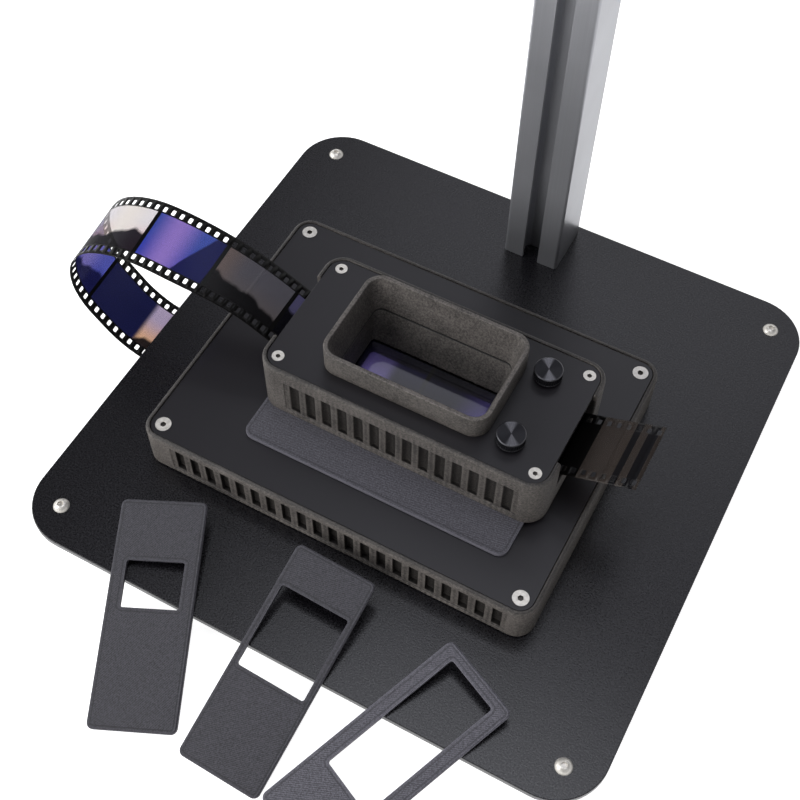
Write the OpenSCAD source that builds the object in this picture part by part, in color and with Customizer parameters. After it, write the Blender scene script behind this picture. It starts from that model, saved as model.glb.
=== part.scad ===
// Film negative copy stand: a base board with a grooved column and a camera arm, a light box,
// a film carrier with a hood, a strip of 35 mm film and three loose format masks.
// The origin is the middle of the board, on the floor it stands on. X runs along the film,
// Y runs back to the column, Z is up. Millimetres.

/* [Board] */
// Width and depth of the square board
board_w = 290; // [262:1:310]
// Thickness of the board
board_t = 4; // [3:0.5:6]
// Corner radius of the board
board_r = 25; // [10:1:30]
// Height of the rubber feet
foot_h = 12; // [11:0.5:16]
// Diameter of the rubber feet
foot_d = 22; // [18:1:28]
// Distance from the board's edges to the foot screws
foot_inset = 17; // [15:0.5:22]

/* [Column] */
// Side of the square column
column_w = 30; // [29:0.5:32]
// Length of the column
column_h = 440; // [430:10:600]
// Gap between the column and the board's rear edge
column_in = 4; // [1:0.5:10]
// Width of the groove's mouth
groove_w = 8.4; // [6:0.1:9]
// Height of the camera carriage above the board
carriage_up = 356; // [300:1:380]

/* [Light box] */
// Width of the light box
light_w = 200; // [194:1:206]
// Depth of the light box
light_d = 150; // [146:1:156]
// Height of the light box body
light_h = 22.9; // [21:0.1:28]
// Corner radius of the light box
light_r = 9; // [7:0.5:12]
// Offset of the light box from the board's middle
light_x = -9; // [-14:0.5:-4]
// Offset of the light box from the board's middle, front to back
light_y = -12; // [-14:0.5:-8]
// Number of vent slots in each long wall
light_slots = 21; // [9:1:21]

/* [Film carrier] */
// Width of the film carrier
carrier_w = 143; // [140:0.5:148]
// Depth of the film carrier
carrier_d = 73; // [70:0.5:80]
// Height of the film carrier body
carrier_h = 31.7; // [30:0.1:38]
// Corner radius of the film carrier
carrier_r = 10; // [8:0.5:12]
// Offset of the carrier from the board's middle
carrier_x = 3.8; // [1:0.1:6]
// Offset of the carrier from the board's middle, front to back
carrier_y = -10.4; // [-14:0.1:-8]
// Number of flutes in each long wall
carrier_slots = 14; // [8:1:14]
// Width of the hood round the window
hood_w = 82; // [80:0.5:85]
// Depth of the hood round the window
hood_d = 52; // [50:0.5:54]
// Height of the hood above the carrier's plate
hood_h = 13; // [8:0.5:20]

/* [Knobs and film] */
// Diameter of the knobs
knob_d = 13; // [11:0.5:14]
// Height of a knob
knob_h = 5.7; // [4.5:0.1:8]
// Width of the film
film_w = 35; // [34.8:0.1:35.2]
// Height of the film above the carrier's underside
film_up = 11; // [10.5:0.1:13]

/* [Masks] */
// Width of a loose mask
mask_w = 40.4; // [38:0.2:44]
// Length of a loose mask
mask_l = 103; // [98:0.5:108]
// Thickness of all masks
mask_t = 2; // [1.5:0.1:3]

/* [Hidden] */
$fn = 64;
// overrun of cuts, overlap of joined shapes, radial clearance of shafts and screws,
// gap between resting faces, and clearance round plates
cut = 1;
weld = 0.05;
fit = 0.05;
gap = 0.1;
slip = 0.25;
spin_gap = 0.4;

// board, feet and column
foot_taper = 3;
foot_web = 2;
foot_screw_in = 9;
foot_at = board_w / 2 - foot_inset;
board_top = foot_h + board_t;
column_r = 1.5;
column_y = board_w / 2 - column_in - column_w / 2;
groove_lip = 2;
groove_deep = 9.5;
pocket_w = 16.5;
pocket_lip = 2.5;
side_wall = 2.4;
side_hole_w = 4;
side_hole_d = 12;
cap_t = 3;
cap_plug_h = 8;
washer_w = 40;
washer_d = column_w + column_in;
washer_t = 3;
washer_r = 3;
bolt_d = 8;
bolt_head_d = 14;
bolt_head_h = 4.4;
bolt_af = 5;
bolt_bite = 30;

// screws: shank, head and socket across flats
m4_d = 4;
m4_head_d = 7.8;
m4_head_h = 2.1;
m4_button_d = 8;
m4_button_h = 2.4;
m4_af = 2.5;
m4_len = 12;
m3_d = 3;
m3_head_d = 6;
m3_head_h = 1.7;
m3_af = 2;
m3_len = 10;
flat_socket_share = 0.7;
button_socket_share = 0.65;

// light box
pad_t = 1;
pad_d = 12;
pad_sink = 0.5;
pad_in = 12;
wall = 4;
rim = 2;
plate_t = 3;
plate_drop = 0.6;
light_z = board_top + pad_t;
light_top = light_z + light_h;
light_plate_z = light_top - plate_drop;
light_ledge = light_plate_z - plate_t;
light_floor = 3;
light_screw_in = 8.4;
light_sx = light_w / 2 - light_screw_in;
light_sy = light_d / 2 - light_screw_in;
light_boss_d = 9;
window_w = 110;
window_d = 74;
window_r = 3;
tray_w = 126;
tray_d = 90;
tray_wall = 3;
tray_r = 4;
diffuser_t = 3;
led_w = 112;
led_d = 76;
led_t = 1.6;
led_r = 2;
led_post_h = 2;
led_post_d = 6;
led_post_in = 5;
led_z = light_z + light_floor + led_post_h;
led_nx = 8;
led_ny = 5;
led_pitch = 13;
chip_w = 5;
chip_h = 1.2;

// vent slots and flutes in the long walls, each row in a shallow panel
slot_w = 4.4;
slot_h = 14.6;
slot_up = 3.6;
slot_deep = 2.7;
slot_pitch = 8.16;
slot_shift = 3.2;
flute_w = 5.2;
flute_h = 18.9;
flute_up = 4.1;
flute_deep = 2.2;
flute_pitch = 8.23;
flute_shift = 1.9;
panel_deep = 0.5;
panel_side = 2.5;
panel_over = 0.8;

// power socket and button in the light box's back wall
power_up = 11.5;
power_z = light_z + power_up;
back_y = light_y + light_d / 2;
socket_dx = 42;
socket_x = light_x - socket_dx;
socket_w = 14;
socket_h = 11;
socket_l = 14;
socket_in = 0.4;
jack_d = 5.7;
jack_deep = 9.5;
button_dx = 64;
button_x = light_x - button_dx;
button_d = 9;
button_out = 3;
button_travel = 1.5;
button_rest = 0.5;
button_guide = 8;
switch_w = 14;
switch_h = 13;
switch_l = 13;
switch_neck = 2;
rear_slots_to = 20;

// insert mask on the light box
insert_w = 134;
insert_d = 100;
insert_x = 1.6;
insert_front = -66.1;
insert_y = insert_front + insert_d / 2;
insert_z = light_plate_z + gap;
insert_r = 5;
insert_round = 4;

// film carrier
carrier_z = insert_z + mask_t + gap;
carrier_top = carrier_z + carrier_h;
carrier_plate_z = carrier_top - plate_drop;
carrier_ledge = carrier_plate_z - plate_t;
carrier_ledge_up = carrier_ledge - carrier_z;
carrier_floor = 3;
carrier_screw_in = 7.9;
carrier_sx = carrier_w / 2 - carrier_screw_in;
carrier_sy = carrier_d / 2 - carrier_screw_in;
carrier_boss_d = 8;
gate_w = 38.7;
gate_under = 1;
film_z = carrier_z + film_up;
gate_z = film_z + gate_under;

// film window, well and hood, about the window's axis
win_shift = -3.8;
win_x = carrier_x + win_shift;
win_y = carrier_y;
win_w = 68;
win_d = 24.8;
win_r = 2;
floor_win_side = 2;
floor_win_end = 3;
seam_w = 70;
seam_d = 38;
seam_r = 4;
well_gap = 0.8;
well_wall = 2.4;
flange_t = 3;
flange_r = 4;
flange_x0 = -44;
flange_x1 = 58.5;
flange_d = 49;
hood_r = 8.5;
hood_wall = 2.1;
spigot_t = 2.2;
spigot_h = 2.6;
skin = 0.01;

// knobs
knob_dx = 51.2;
knob_x = win_x + knob_dx;
knob_dy = 19.1;
knob_lift = 0.3;
knob_neck_h = 0.8;
knob_neck_in = 1;
knob_bevel = 0.4;
knob_band = 0.45;
stud_d = 4;
stud_len = 7;
knurls = 36;
knurl_r = 0.45;
knurl_out = 0.15;

// film, with its perforations
film_t = 0.2;
film_travel = 8;
flat_half = 36;
bend_end = 70;
in_turn = 22.9;
in_run = 41.3;
in_r = (bend_end - flat_half) / sin(in_turn);
out_turn = 27.5;
out_r = (bend_end - flat_half) / sin(out_turn);
drape_r = 134;
crest_r = 59;
crest_turn = 25;
curl_r = 34;
curl_turn = 106;
tail_r = 38;
tail_turn = 42;
tail_out = 1.3;
tail_up = 0.7;
perf_pitch = 4.75;
perf_l = 1.98;
perf_w = 2.8;
perf_in = 2;
perf_start = 2;
perf_deep = 1;

function arc_length(r, turn) = r * turn * PI / 180;
// Stretches of the strip from its right end: [length, turn in degrees], turn 0 is straight
function stretches(out_run, hang_run) = [
    [in_run, 0],
    [arc_length(in_r, in_turn), -in_turn],
    [2 * flat_half, 0],
    [arc_length(out_r, out_turn), -out_turn],
    [out_run, 0],
    [arc_length(drape_r, out_turn), out_turn],
    [arc_length(crest_r, crest_turn), crest_turn],
    [arc_length(curl_r, curl_turn), curl_turn],
    [hang_run, 0],
    [arc_length(tail_r, tail_turn), tail_turn],
];
// The state [x, z, heading] after one stretch, and after all of a list
function step(p, s) = s[1] == 0
    ? [p[0] + s[0] * cos(p[2]), p[1] + s[0] * sin(p[2]), p[2]]
    : let (r = s[0] / (s[1] * PI / 180))
        [p[0] + r * (sin(p[2] + s[1]) - sin(p[2])),
         p[1] - r * (cos(p[2] + s[1]) - cos(p[2])), p[2] + s[1]];
function walk(p, list, i = 0) = i == len(list) ? p : walk(step(p, list[i]), list, i + 1);
strip_start = [
    win_x + bend_end + in_run * cos(in_turn),
    film_z + in_r * (1 - cos(in_turn)) + in_run * sin(in_turn),
    180 + in_turn,
];
// The two straight runs that end the strip beside the board and just above the floor
bare_end = walk(strip_start, stretches(0, 0));
miss_x = -board_w / 2 - tail_out - bare_end[0];
miss_z = tail_up - bare_end[1];
hang_way = 180 + crest_turn + curl_turn;
turn_sine = sin(out_turn + hang_way);
STRIP = stretches(
    (miss_z * cos(hang_way) - miss_x * sin(hang_way)) / turn_sine,
    (miss_z * cos(out_turn) + miss_x * sin(out_turn)) / turn_sine
);
STARTS = [for (i = 0, p = strip_start; i < len(STRIP); p = step(p, STRIP[i]), i = i + 1) p];
DISTS = [for (i = 0, d = 0; i < len(STRIP); d = d + STRIP[i][0], i = i + 1) d];
strip_len = DISTS[len(STRIP) - 1] + STRIP[len(STRIP) - 1][0];
// State at distance d along the strip
function strip_at(d) =
    let (i = max([for (k = [0:len(STRIP) - 1]) if (d >= DISTS[k]) k]))
    let (part = (d - DISTS[i]) / STRIP[i][0])
        step(STARTS[i], [STRIP[i][0] * part, STRIP[i][1] * part]);
// Flats of the strip, one perforation to each: where they meet, as distances and as states
holes = floor((strip_len - 2 * perf_start) / perf_pitch) + 1;
FLAT_ENDS = [
    0, for (i = [0:holes - 2]) perf_start + i * perf_pitch + perf_pitch / 2, strip_len,
];
FOLDS = [for (d = FLAT_ENDS) strip_at(d)];

// film bed under the film
bed_w = 116;
bed_gap = 0.4;
bed_flat = flat_half + film_travel;
bed_r = 80;
bed_rise = 3;
bed_base = carrier_z + carrier_floor;
bed_top = film_z - film_t / 2 - bed_gap;
bed_win_side = 0.5;
fence_t = 3;
fence_h = 3.5;
bed_screw_x = 50;
bed_screw_y = 17;
bed_screw_bite = 5;

// camera carriage, its clamp and the camera arm
carriage_h = 44;
carriage_wall = 8;
carriage_r = 4;
carriage_slip = 0.15;
carriage_w = column_w + 2 * carriage_wall;
carriage_z = board_top + carriage_up;
clamp_boss_d = 20;
clamp_boss_h = 6;
clamp_pad_t = 1.5;
clamp_pad_gap = 0.35;
clamp_pad_slack = 0.4;
clamp_stud_gap = 0.2;
clamp_knob_d = 30;
clamp_knob_h = 16;
clamp_lobe_r = 6;
clamp_lobe_out = 3;
arm_w = 50;
arm_t = 6;
arm_y = 40;
arm_drop = 62;
arm_back = column_y - carriage_w / 2;
arm_top = carriage_z + carriage_h;
arm_screw_side = 10;
arm_screw_dx = arm_w / 2 - arm_screw_side;
arm_screw_in = 10;
arm_screw_bite = 6;
arm_screw_spare = 1;
gusset_t = 4;
gusset_w = 26;
camera_d = 6.35;
camera_out = 5.5;
camera_neck_d = 5;
camera_relief = 0.3;
camera_hole_up = 27;
camera_z = arm_top - arm_drop + camera_hole_up;
camera_knob_d = 22;
camera_knob_h = 9;

// loose masks: place along the board's front edge, distance of the middle from the light box's
// front wall, turn, window
mask_r = 3;
mask_win_r = 1.2;
mask_win_at = 38.9;
mask_edge = 0.4;
mask_floor_gap = 0.3;
light_front = board_w / 2 + light_y - light_d / 2;
mask_left_x = -62;
mask_left_reach = 66;
mask_left_out = mask_left_reach - light_front;
mask_left_turn = 23;
mask_left_win_w = 27;
mask_left_win_l = 21.5;
mask_middle_x = 2.1;
mask_middle_reach = 60.8;
mask_middle_out = mask_middle_reach - light_front;
mask_middle_turn = -2;
mask_middle_win_w = 34;
mask_middle_win_l = 39;
mask_right_x = 61;
mask_right_reach = 71.5;
mask_right_out = mask_right_reach - light_front;
mask_right_turn = -24;
mask_right_win_w = 26.5;
mask_right_win_l = 67;

// Flat rounded rectangle, centred
module round_rect(w, d, r) {
    square([w - 2 * r, d], center = true);
    square([w, d - 2 * r], center = true);
    for (x = [-1, 1], y = [-1, 1])
        translate([x * (w / 2 - r), y * (d / 2 - r)]) circle(r);
}

// Rounded slab with its bottom at z = 0
module slab(w, d, h, r) {
    linear_extrude(h) round_rect(w, d, r);
}

// The children at the four corners of a rectangle
module corners(dx, dy) {
    for (x = [-1, 1], y = [-1, 1]) translate([x * dx, y * dy, 0]) children();
}

// Countersunk screw with a hex socket, top of the head at z = 0
module flat_screw(d, head_d, head_h, af, len) {
    difference() {
        union() {
            translate([0, 0, -head_h]) cylinder(d1 = d, d2 = head_d, h = head_h);
            translate([0, 0, -len]) cylinder(d = d, h = len - head_h + weld);
        }
        translate([0, 0, -head_h * flat_socket_share])
            cylinder(d = af / cos(30), h = head_h, $fn = 6);
    }
}

// Hole for a countersunk screw, top face at z = 0
module flat_hole(d, head_d, head_h, len) {
    translate([0, 0, -head_h]) cylinder(d1 = d + 2 * fit, d2 = head_d + 2 * fit, h = head_h);
    translate([0, 0, -len - cut]) cylinder(d = d + 2 * fit, h = len + cut);
    translate([0, 0, -weld]) cylinder(d = head_d + 2 * fit, h = cut);
}

// Button head screw with a hex socket, underside of the head at z = 0
module button_screw(d, head_d, head_h, af, len) {
    ball_r = (head_d * head_d / 4 + head_h * head_h) / (2 * head_h);
    difference() {
        union() {
            intersection() {
                translate([0, 0, head_h - ball_r]) sphere(ball_r);
                cylinder(d = head_d, h = head_h + cut);
            }
            translate([0, 0, -len]) cylinder(d = d, h = len + weld);
        }
        translate([0, 0, head_h * (1 - button_socket_share)])
            cylinder(d = af / cos(30), h = head_h, $fn = 6);
    }
}

module base_board() {
    color("#343337") difference() {
        translate([0, 0, foot_h]) slab(board_w, board_w, board_t, board_r);
        corners(foot_at, foot_at) translate([0, 0, foot_h - cut])
            cylinder(d = m4_d + 2 * fit, h = board_t + 2 * cut);
        translate([0, column_y, foot_h - cut])
            cylinder(d = bolt_d + 2 * fit, h = board_t + 2 * cut);
    }
}

module board_feet() {
    color("#1c1c1e") corners(foot_at, foot_at) difference() {
        union() {
            cylinder(d1 = foot_d - foot_taper, d2 = foot_d, h = foot_h / 2);
            translate([0, 0, foot_h / 2]) cylinder(d = foot_d, h = foot_h / 2);
        }
        translate([0, 0, foot_web]) cylinder(d = m4_d + 2 * fit, h = foot_h);
    }
}

module foot_screws() {
    color("#c9c9cc") corners(foot_at, foot_at) translate([0, 0, board_top])
        button_screw(m4_d, m4_button_d, m4_button_h, m4_af, board_t + foot_screw_in);
}

// Groove of the column, its mouth at the front face
module column_groove() {
    translate([-groove_w / 2, -column_w / 2 - cut]) square([groove_w, groove_lip + 2 * cut]);
    translate([0, -column_w / 2 + groove_lip]) polygon([
        [-pocket_w / 2, 0], [pocket_w / 2, 0], [pocket_w / 2, pocket_lip],
        [groove_w / 2, groove_deep - groove_lip], [-groove_w / 2, groove_deep - groove_lip],
        [-pocket_w / 2, pocket_lip],
    ]);
}

module column_profile() {
    difference() {
        round_rect(column_w, column_w, column_r);
        column_groove();
        rotate(180) column_groove();
        circle(d = bolt_d + 2 * fit);
        for (x = [-1, 1]) translate([x * (column_w / 2 - side_wall - side_hole_w / 2), 0])
            square([side_hole_w, side_hole_d], center = true);
    }
}

module column() {
    color("#8f9094") translate([0, column_y, board_top])
        linear_extrude(column_h) column_profile();
}

module column_cap() {
    color("#1d1d1f") translate([0, column_y, board_top + column_h]) {
        slab(column_w, column_w, cap_t, column_r);
        translate([0, 0, -cap_plug_h]) cylinder(d = bolt_d, h = cap_plug_h + weld);
    }
}

module column_washer() {
    color("#a8a8ab") translate([0, column_y, foot_h - washer_t]) difference() {
        slab(washer_w, washer_d, washer_t, washer_r);
        translate([0, 0, -cut]) cylinder(d = bolt_d + 2 * fit, h = washer_t + 2 * cut);
    }
}

module column_bolt() {
    color("#b5b5b8") translate([0, column_y, foot_h - washer_t]) mirror([0, 0, 1])
        button_screw(bolt_d, bolt_head_d, bolt_head_h, bolt_af, washer_t + board_t + bolt_bite);
}

// The four places of the arm's screws, on the face where the arm meets the carriage
module arm_screw_places() {
    for (x = [-1, 1], z = [arm_screw_in, carriage_h - arm_screw_in])
        translate([x * arm_screw_dx, arm_back, carriage_z + z]) rotate([90, 0, 0]) children();
}

// Frame that runs on the column, with a bored boss for the clamp knob on its right side
module camera_carriage() {
    color("#2b2b2e") difference() {
        translate([0, column_y, carriage_z]) difference() {
            union() {
                slab(carriage_w, carriage_w, carriage_h, carriage_r);
                translate([carriage_w / 2 - cut, 0, carriage_h / 2]) rotate([0, 90, 0])
                    cylinder(d = clamp_boss_d, h = clamp_boss_h + cut);
            }
            translate([0, 0, -cut])
                slab(column_w + 2 * carriage_slip, column_w + 2 * carriage_slip,
                     carriage_h + 2 * cut, column_r + carriage_slip);
            translate([column_w / 2, 0, carriage_h / 2]) rotate([0, 90, 0])
                cylinder(d = bolt_d + 2 * fit, h = carriage_wall + clamp_boss_h + 2 * cut);
        }
        arm_screw_places() translate([0, 0, -arm_screw_bite - arm_screw_spare])
            cylinder(d = m4_d + 2 * fit, h = arm_screw_bite + arm_screw_spare + cut);
    }
}

module carriage_pad() {
    color("#b08a4a")
        translate([column_w / 2 + clamp_pad_gap, column_y, carriage_z + carriage_h / 2])
            rotate([0, 90, 0]) cylinder(d = bolt_d - 2 * clamp_pad_slack, h = clamp_pad_t);
}

module carriage_knob() {
    stud_end = column_w / 2 + clamp_pad_gap + clamp_pad_t + clamp_stud_gap;
    knob_at = carriage_w / 2 + clamp_boss_h + spin_gap;
    color("#161617") translate([0, column_y, carriage_z + carriage_h / 2]) rotate([0, 90, 0]) {
        translate([0, 0, knob_at]) difference() {
            cylinder(d = clamp_knob_d, h = clamp_knob_h);
            for (a = [0:60:300]) rotate(a)
                translate([clamp_knob_d / 2 + clamp_lobe_out, 0, -cut])
                    cylinder(r = clamp_lobe_r, h = clamp_knob_h + 2 * cut);
        }
        translate([0, 0, stud_end]) cylinder(d = bolt_d, h = knob_at - stud_end + weld);
    }
}

// Bracket that reaches forward from the carriage and holds the camera by its base
module camera_arm() {
    color("#2b2b2e") difference() {
        union() {
            translate([-arm_w / 2, arm_y, arm_top - arm_t]) cube([arm_w, arm_back - arm_y, arm_t]);
            translate([-arm_w / 2, arm_y, arm_top - arm_drop]) cube([arm_w, arm_t, arm_drop]);
            translate([-arm_w / 2, arm_back - arm_t, arm_top - carriage_h])
                cube([arm_w, arm_t, carriage_h]);
            for (x = [-arm_w / 2, arm_w / 2 - gusset_t])
                translate([x, arm_back - arm_t, arm_top - arm_t]) rotate([90, 0, 90])
                    linear_extrude(gusset_t)
                        polygon([[weld, weld], [weld, -gusset_w], [-gusset_w, weld]]);
        }
        arm_screw_places() translate([0, 0, -cut])
            cylinder(d = m4_d + 2 * fit, h = arm_t + 2 * cut);
        translate([0, arm_y - cut, camera_z]) rotate([-90, 0, 0])
            cylinder(d = camera_d + 2 * fit, h = arm_t + 2 * cut);
    }
}

module arm_screws() {
    color("#b5b5b8") arm_screw_places() translate([0, 0, arm_t])
        button_screw(m4_d, m4_button_d, m4_button_h, m4_af, arm_t + arm_screw_bite);
}

// Captive camera screw: thread, a thinner neck through the arm, and a knob behind it
module camera_screw() {
    color("#c9c9cc") translate([0, arm_y, camera_z]) rotate([-90, 0, 0]) {
        translate([0, 0, -camera_out]) cylinder(d = camera_d, h = camera_out - camera_relief);
        translate([0, 0, -camera_relief - weld])
            cylinder(d = camera_neck_d, h = camera_relief + arm_t + spin_gap + 2 * weld);
        translate([0, 0, arm_t + spin_gap]) cylinder(d = camera_knob_d, h = camera_knob_h);
    }
}

// Middle of upright cut i in a row
function cut_x(i, count, pitch) = (i - (count - 1) / 2) * pitch;

// Shallow panel round a row of cuts, in a wall whose face is at y = 0, from z = 0
module row_panel(count, pitch, cut_w, cut_h) {
    w = (count - 1) * pitch + cut_w + 2 * panel_side;
    translate([-w / 2, -cut, -panel_over]) cube([w, cut + panel_deep, cut_h + 2 * panel_over]);
}

module light_box_body() {
    color("#5a5551") translate([light_x, light_y, light_z]) difference() {
        union() {
            difference() {
                slab(light_w, light_d, light_h, light_r);
                translate([0, 0, light_floor])
                    slab(light_w - 2 * wall, light_d - 2 * wall, light_h, light_r - wall);
                translate([0, 0, light_h - plate_drop - plate_t])
                    slab(light_w - 2 * rim, light_d - 2 * rim, light_h, light_r - rim);
            }
            light_box_insides();
        }
        corners(light_sx, light_sy) translate([0, 0, light_h - plate_drop - plate_t - m4_len])
            cylinder(d = m4_d + 2 * fit, h = m4_len + cut);
        corners(light_sx - pad_in, light_sy - pad_in) translate([0, 0, -cut])
            cylinder(d = pad_d + 2 * fit, h = cut + pad_sink);
        translate([slot_shift, -light_d / 2, slot_up]) {
            row_panel(light_slots, slot_pitch, slot_w, slot_h);
            for (i = [0:light_slots - 1]) vent_slot(cut_x(i, light_slots, slot_pitch));
        }
        rotate(180) translate([slot_shift, -light_d / 2, slot_up])
            for (i = [0:light_slots - 1])
                if (cut_x(i, light_slots, slot_pitch) < rear_slots_to)
                    vent_slot(cut_x(i, light_slots, slot_pitch));
        power_holes();
    }
}

module vent_slot(x) {
    translate([x - slot_w / 2, -cut, 0]) cube([slot_w, slot_deep + cut, slot_h]);
}

// Bosses, the diffuser's tray and the lamp board's posts
module light_box_insides() {
    boss_top = light_h - plate_drop - plate_t;
    corners(light_sx, light_sy) translate([0, 0, light_floor - weld])
        cylinder(d = light_boss_d, h = boss_top - light_floor + weld);
    difference() {
        translate([0, 0, light_floor - weld])
            slab(tray_w, tray_d, boss_top - diffuser_t - light_floor + weld, tray_r);
        translate([0, 0, light_floor - cut])
            slab(tray_w - 2 * tray_wall, tray_d - 2 * tray_wall, light_h, tray_r - tray_wall);
    }
    corners(led_w / 2 - led_post_in, led_d / 2 - led_post_in)
        translate([0, 0, light_floor - weld]) cylinder(d = led_post_d, h = led_post_h + weld);
}

// Openings for the power socket and the button, in the box's own frame
module power_holes() {
    translate([socket_x - light_x - socket_w / 2 - fit, light_d / 2 - wall - cut,
               power_up - socket_h / 2 - fit])
        cube([socket_w + 2 * fit, wall + 2 * cut, socket_h + 2 * fit]);
    translate([button_x - light_x, light_d / 2 - wall - cut, power_up]) rotate([-90, 0, 0])
        cylinder(d = button_d + 2 * switch_neck, h = wall + 2 * cut);
}

module light_pads() {
    color("#202022") translate([light_x, light_y, board_top])
        corners(light_sx - pad_in, light_sy - pad_in) cylinder(d = pad_d, h = pad_t + pad_sink);
}

module light_top_plate() {
    w = light_w - 2 * rim - 2 * slip;
    d = light_d - 2 * rim - 2 * slip;
    color("#333236") translate([light_x, light_y, light_ledge]) difference() {
        slab(w, d, plate_t, light_r - rim - slip);
        translate([0, 0, -cut]) slab(window_w, window_d, plate_t + 2 * cut, window_r);
        corners(light_sx, light_sy) translate([0, 0, plate_t])
            flat_hole(m4_d, m4_head_d, m4_head_h, plate_t);
    }
}

module light_plate_screws() {
    color("#cfcfd2") translate([light_x, light_y, light_plate_z]) corners(light_sx, light_sy)
        flat_screw(m4_d, m4_head_d, m4_head_h, m4_af, m4_len);
}

module light_diffuser() {
    color("#e8e8e6") translate([light_x, light_y, light_ledge - diffuser_t])
        slab(tray_w, tray_d, diffuser_t, tray_r);
}

module led_board() {
    color("#e4e6e4") translate([light_x, light_y, led_z]) slab(led_w, led_d, led_t, led_r);
}

module led_chips() {
    color("#f2dc7a") translate([light_x, light_y, led_z + led_t])
        for (i = [0:led_nx - 1], j = [0:led_ny - 1])
            translate([(i - (led_nx - 1) / 2) * led_pitch - chip_w / 2,
                       (j - (led_ny - 1) / 2) * led_pitch - chip_w / 2, 0])
                cube([chip_w, chip_w, chip_h]);
}

// Low voltage socket: a block with a round bore
module power_socket() {
    color("#161617") translate([socket_x, back_y, power_z]) difference() {
        translate([-socket_w / 2, -socket_l, -socket_h / 2])
            cube([socket_w, socket_l - socket_in, socket_h]);
        translate([0, -jack_deep - socket_in, 0]) rotate([-90, 0, 0])
            cylinder(d = jack_d, h = jack_deep + cut);
    }
}

// Switch body behind the back wall, with a round guide for the button
module power_switch() {
    color("#161617") translate([button_x, back_y, power_z]) difference() {
        union() {
            translate([-switch_w / 2, -wall - switch_l, -switch_h / 2])
                cube([switch_w, switch_l, switch_h]);
            translate([0, -wall - weld, 0]) rotate([-90, 0, 0])
                cylinder(d = button_d + 2 * switch_neck - 2 * fit, h = wall + weld);
        }
        translate([0, -wall - button_guide, 0]) rotate([-90, 0, 0])
            cylinder(d = button_d + 2 * fit, h = wall + button_guide + cut);
    }
}

module power_button() {
    reach = wall + button_guide - button_travel - button_rest;
    color("#8a1f1c") translate([button_x, back_y - reach, power_z]) rotate([-90, 0, 0])
        cylinder(d = button_d, h = reach + button_out);
}

module insert_mask() {
    color("#4a494e") translate([insert_x, insert_y, insert_z]) difference() {
        slab(insert_w, insert_d, mask_t, insert_r);
        translate([win_x - insert_x, win_y - insert_y, -cut])
            slab(win_w + insert_round, win_d + insert_round, mask_t + 2 * cut, win_r);
    }
}

module carrier_body() {
    color("#5a5551") translate([carrier_x, carrier_y, carrier_z]) difference() {
        union() {
            difference() {
                slab(carrier_w, carrier_d, carrier_h, carrier_r);
                translate([0, 0, carrier_floor])
                    slab(carrier_w - 2 * wall, carrier_d - 2 * wall, carrier_h, carrier_r - wall);
                translate([0, 0, carrier_ledge_up])
                    slab(carrier_w - 2 * rim, carrier_d - 2 * rim, carrier_h, carrier_r - rim);
            }
            corners(carrier_sx, carrier_sy) translate([0, 0, carrier_floor - weld])
                cylinder(d = carrier_boss_d, h = carrier_ledge_up - carrier_floor + weld);
        }
        corners(carrier_sx, carrier_sy) translate([0, 0, carrier_ledge_up - m3_len])
            cylinder(d = m3_d + 2 * fit, h = m3_len + cut);
        for (s = [0, 1]) mirror([0, s, 0]) translate([flute_shift, -carrier_d / 2, flute_up]) {
            row_panel(carrier_slots, flute_pitch, flute_w, flute_h);
            for (i = [0:carrier_slots - 1])
                translate([cut_x(i, carrier_slots, flute_pitch), 0, 0]) flute();
        }
        film_gates();
        translate([win_x - carrier_x, 0, -cut])
            slab(win_w + 2 * floor_win_side, win_d + 2 * floor_win_end,
                 carrier_floor + 2 * cut, win_r);
        translate([win_x - carrier_x, 0, 0]) corners(bed_screw_x, bed_screw_y) mirror([0, 0, 1])
            flat_hole(m3_d, m3_head_d, m3_head_h, carrier_floor);
    }
}

// Upright flute with a round bottom, cut into a wall whose face is at y = 0
module flute() {
    r = (flute_w * flute_w / 4 + flute_deep * flute_deep) / (2 * flute_deep);
    translate([0, flute_deep - r, 0]) cylinder(r = r, h = flute_h);
}

// Openings in both end walls, where the film goes in and out, down from the rim
module film_gates() {
    for (x = [-1, 1]) translate([x * (carrier_w / 2 - wall / 2), 0, gate_z - carrier_z])
        translate([-wall / 2 - cut, -gate_w / 2, 0])
            cube([wall + 2 * cut, gate_w, carrier_h]);
}

module carrier_top_plate() {
    w = carrier_w - 2 * rim - 2 * slip;
    d = carrier_d - 2 * rim - 2 * slip;
    color("#333236") translate([carrier_x, carrier_y, carrier_ledge]) difference() {
        slab(w, d, plate_t, carrier_r - rim - slip);
        translate([win_x - carrier_x, 0, -cut])
            slab(seam_w + 2 * spigot_t + 2 * slip, seam_d + 2 * spigot_t + 2 * slip,
                 plate_t + 2 * cut, seam_r + spigot_t + slip);
        corners(carrier_sx, carrier_sy) translate([0, 0, plate_t])
            flat_hole(m3_d, m3_head_d, m3_head_h, plate_t);
        for (y = [-1, 1]) translate([knob_x - carrier_x, y * knob_dy, -cut])
            cylinder(d = stud_d + 2 * fit, h = plate_t + 2 * cut);
    }
}

module carrier_plate_screws() {
    color("#cfcfd2") translate([carrier_x, carrier_y, carrier_plate_z])
        corners(carrier_sx, carrier_sy) flat_screw(m3_d, m3_head_d, m3_head_h, m3_af, m3_len);
}

// Side view of the bed: flat under the window, rising to both ends
module bed_outline() {
    difference() {
        translate([-bed_w / 2, bed_base]) square([bed_w, bed_top - bed_base + bed_rise]);
        translate([-bed_flat, bed_top]) square([2 * bed_flat, bed_rise + cut]);
        for (x = [-1, 1]) translate([x * bed_flat, bed_top + bed_r]) circle(bed_r);
    }
}

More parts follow.
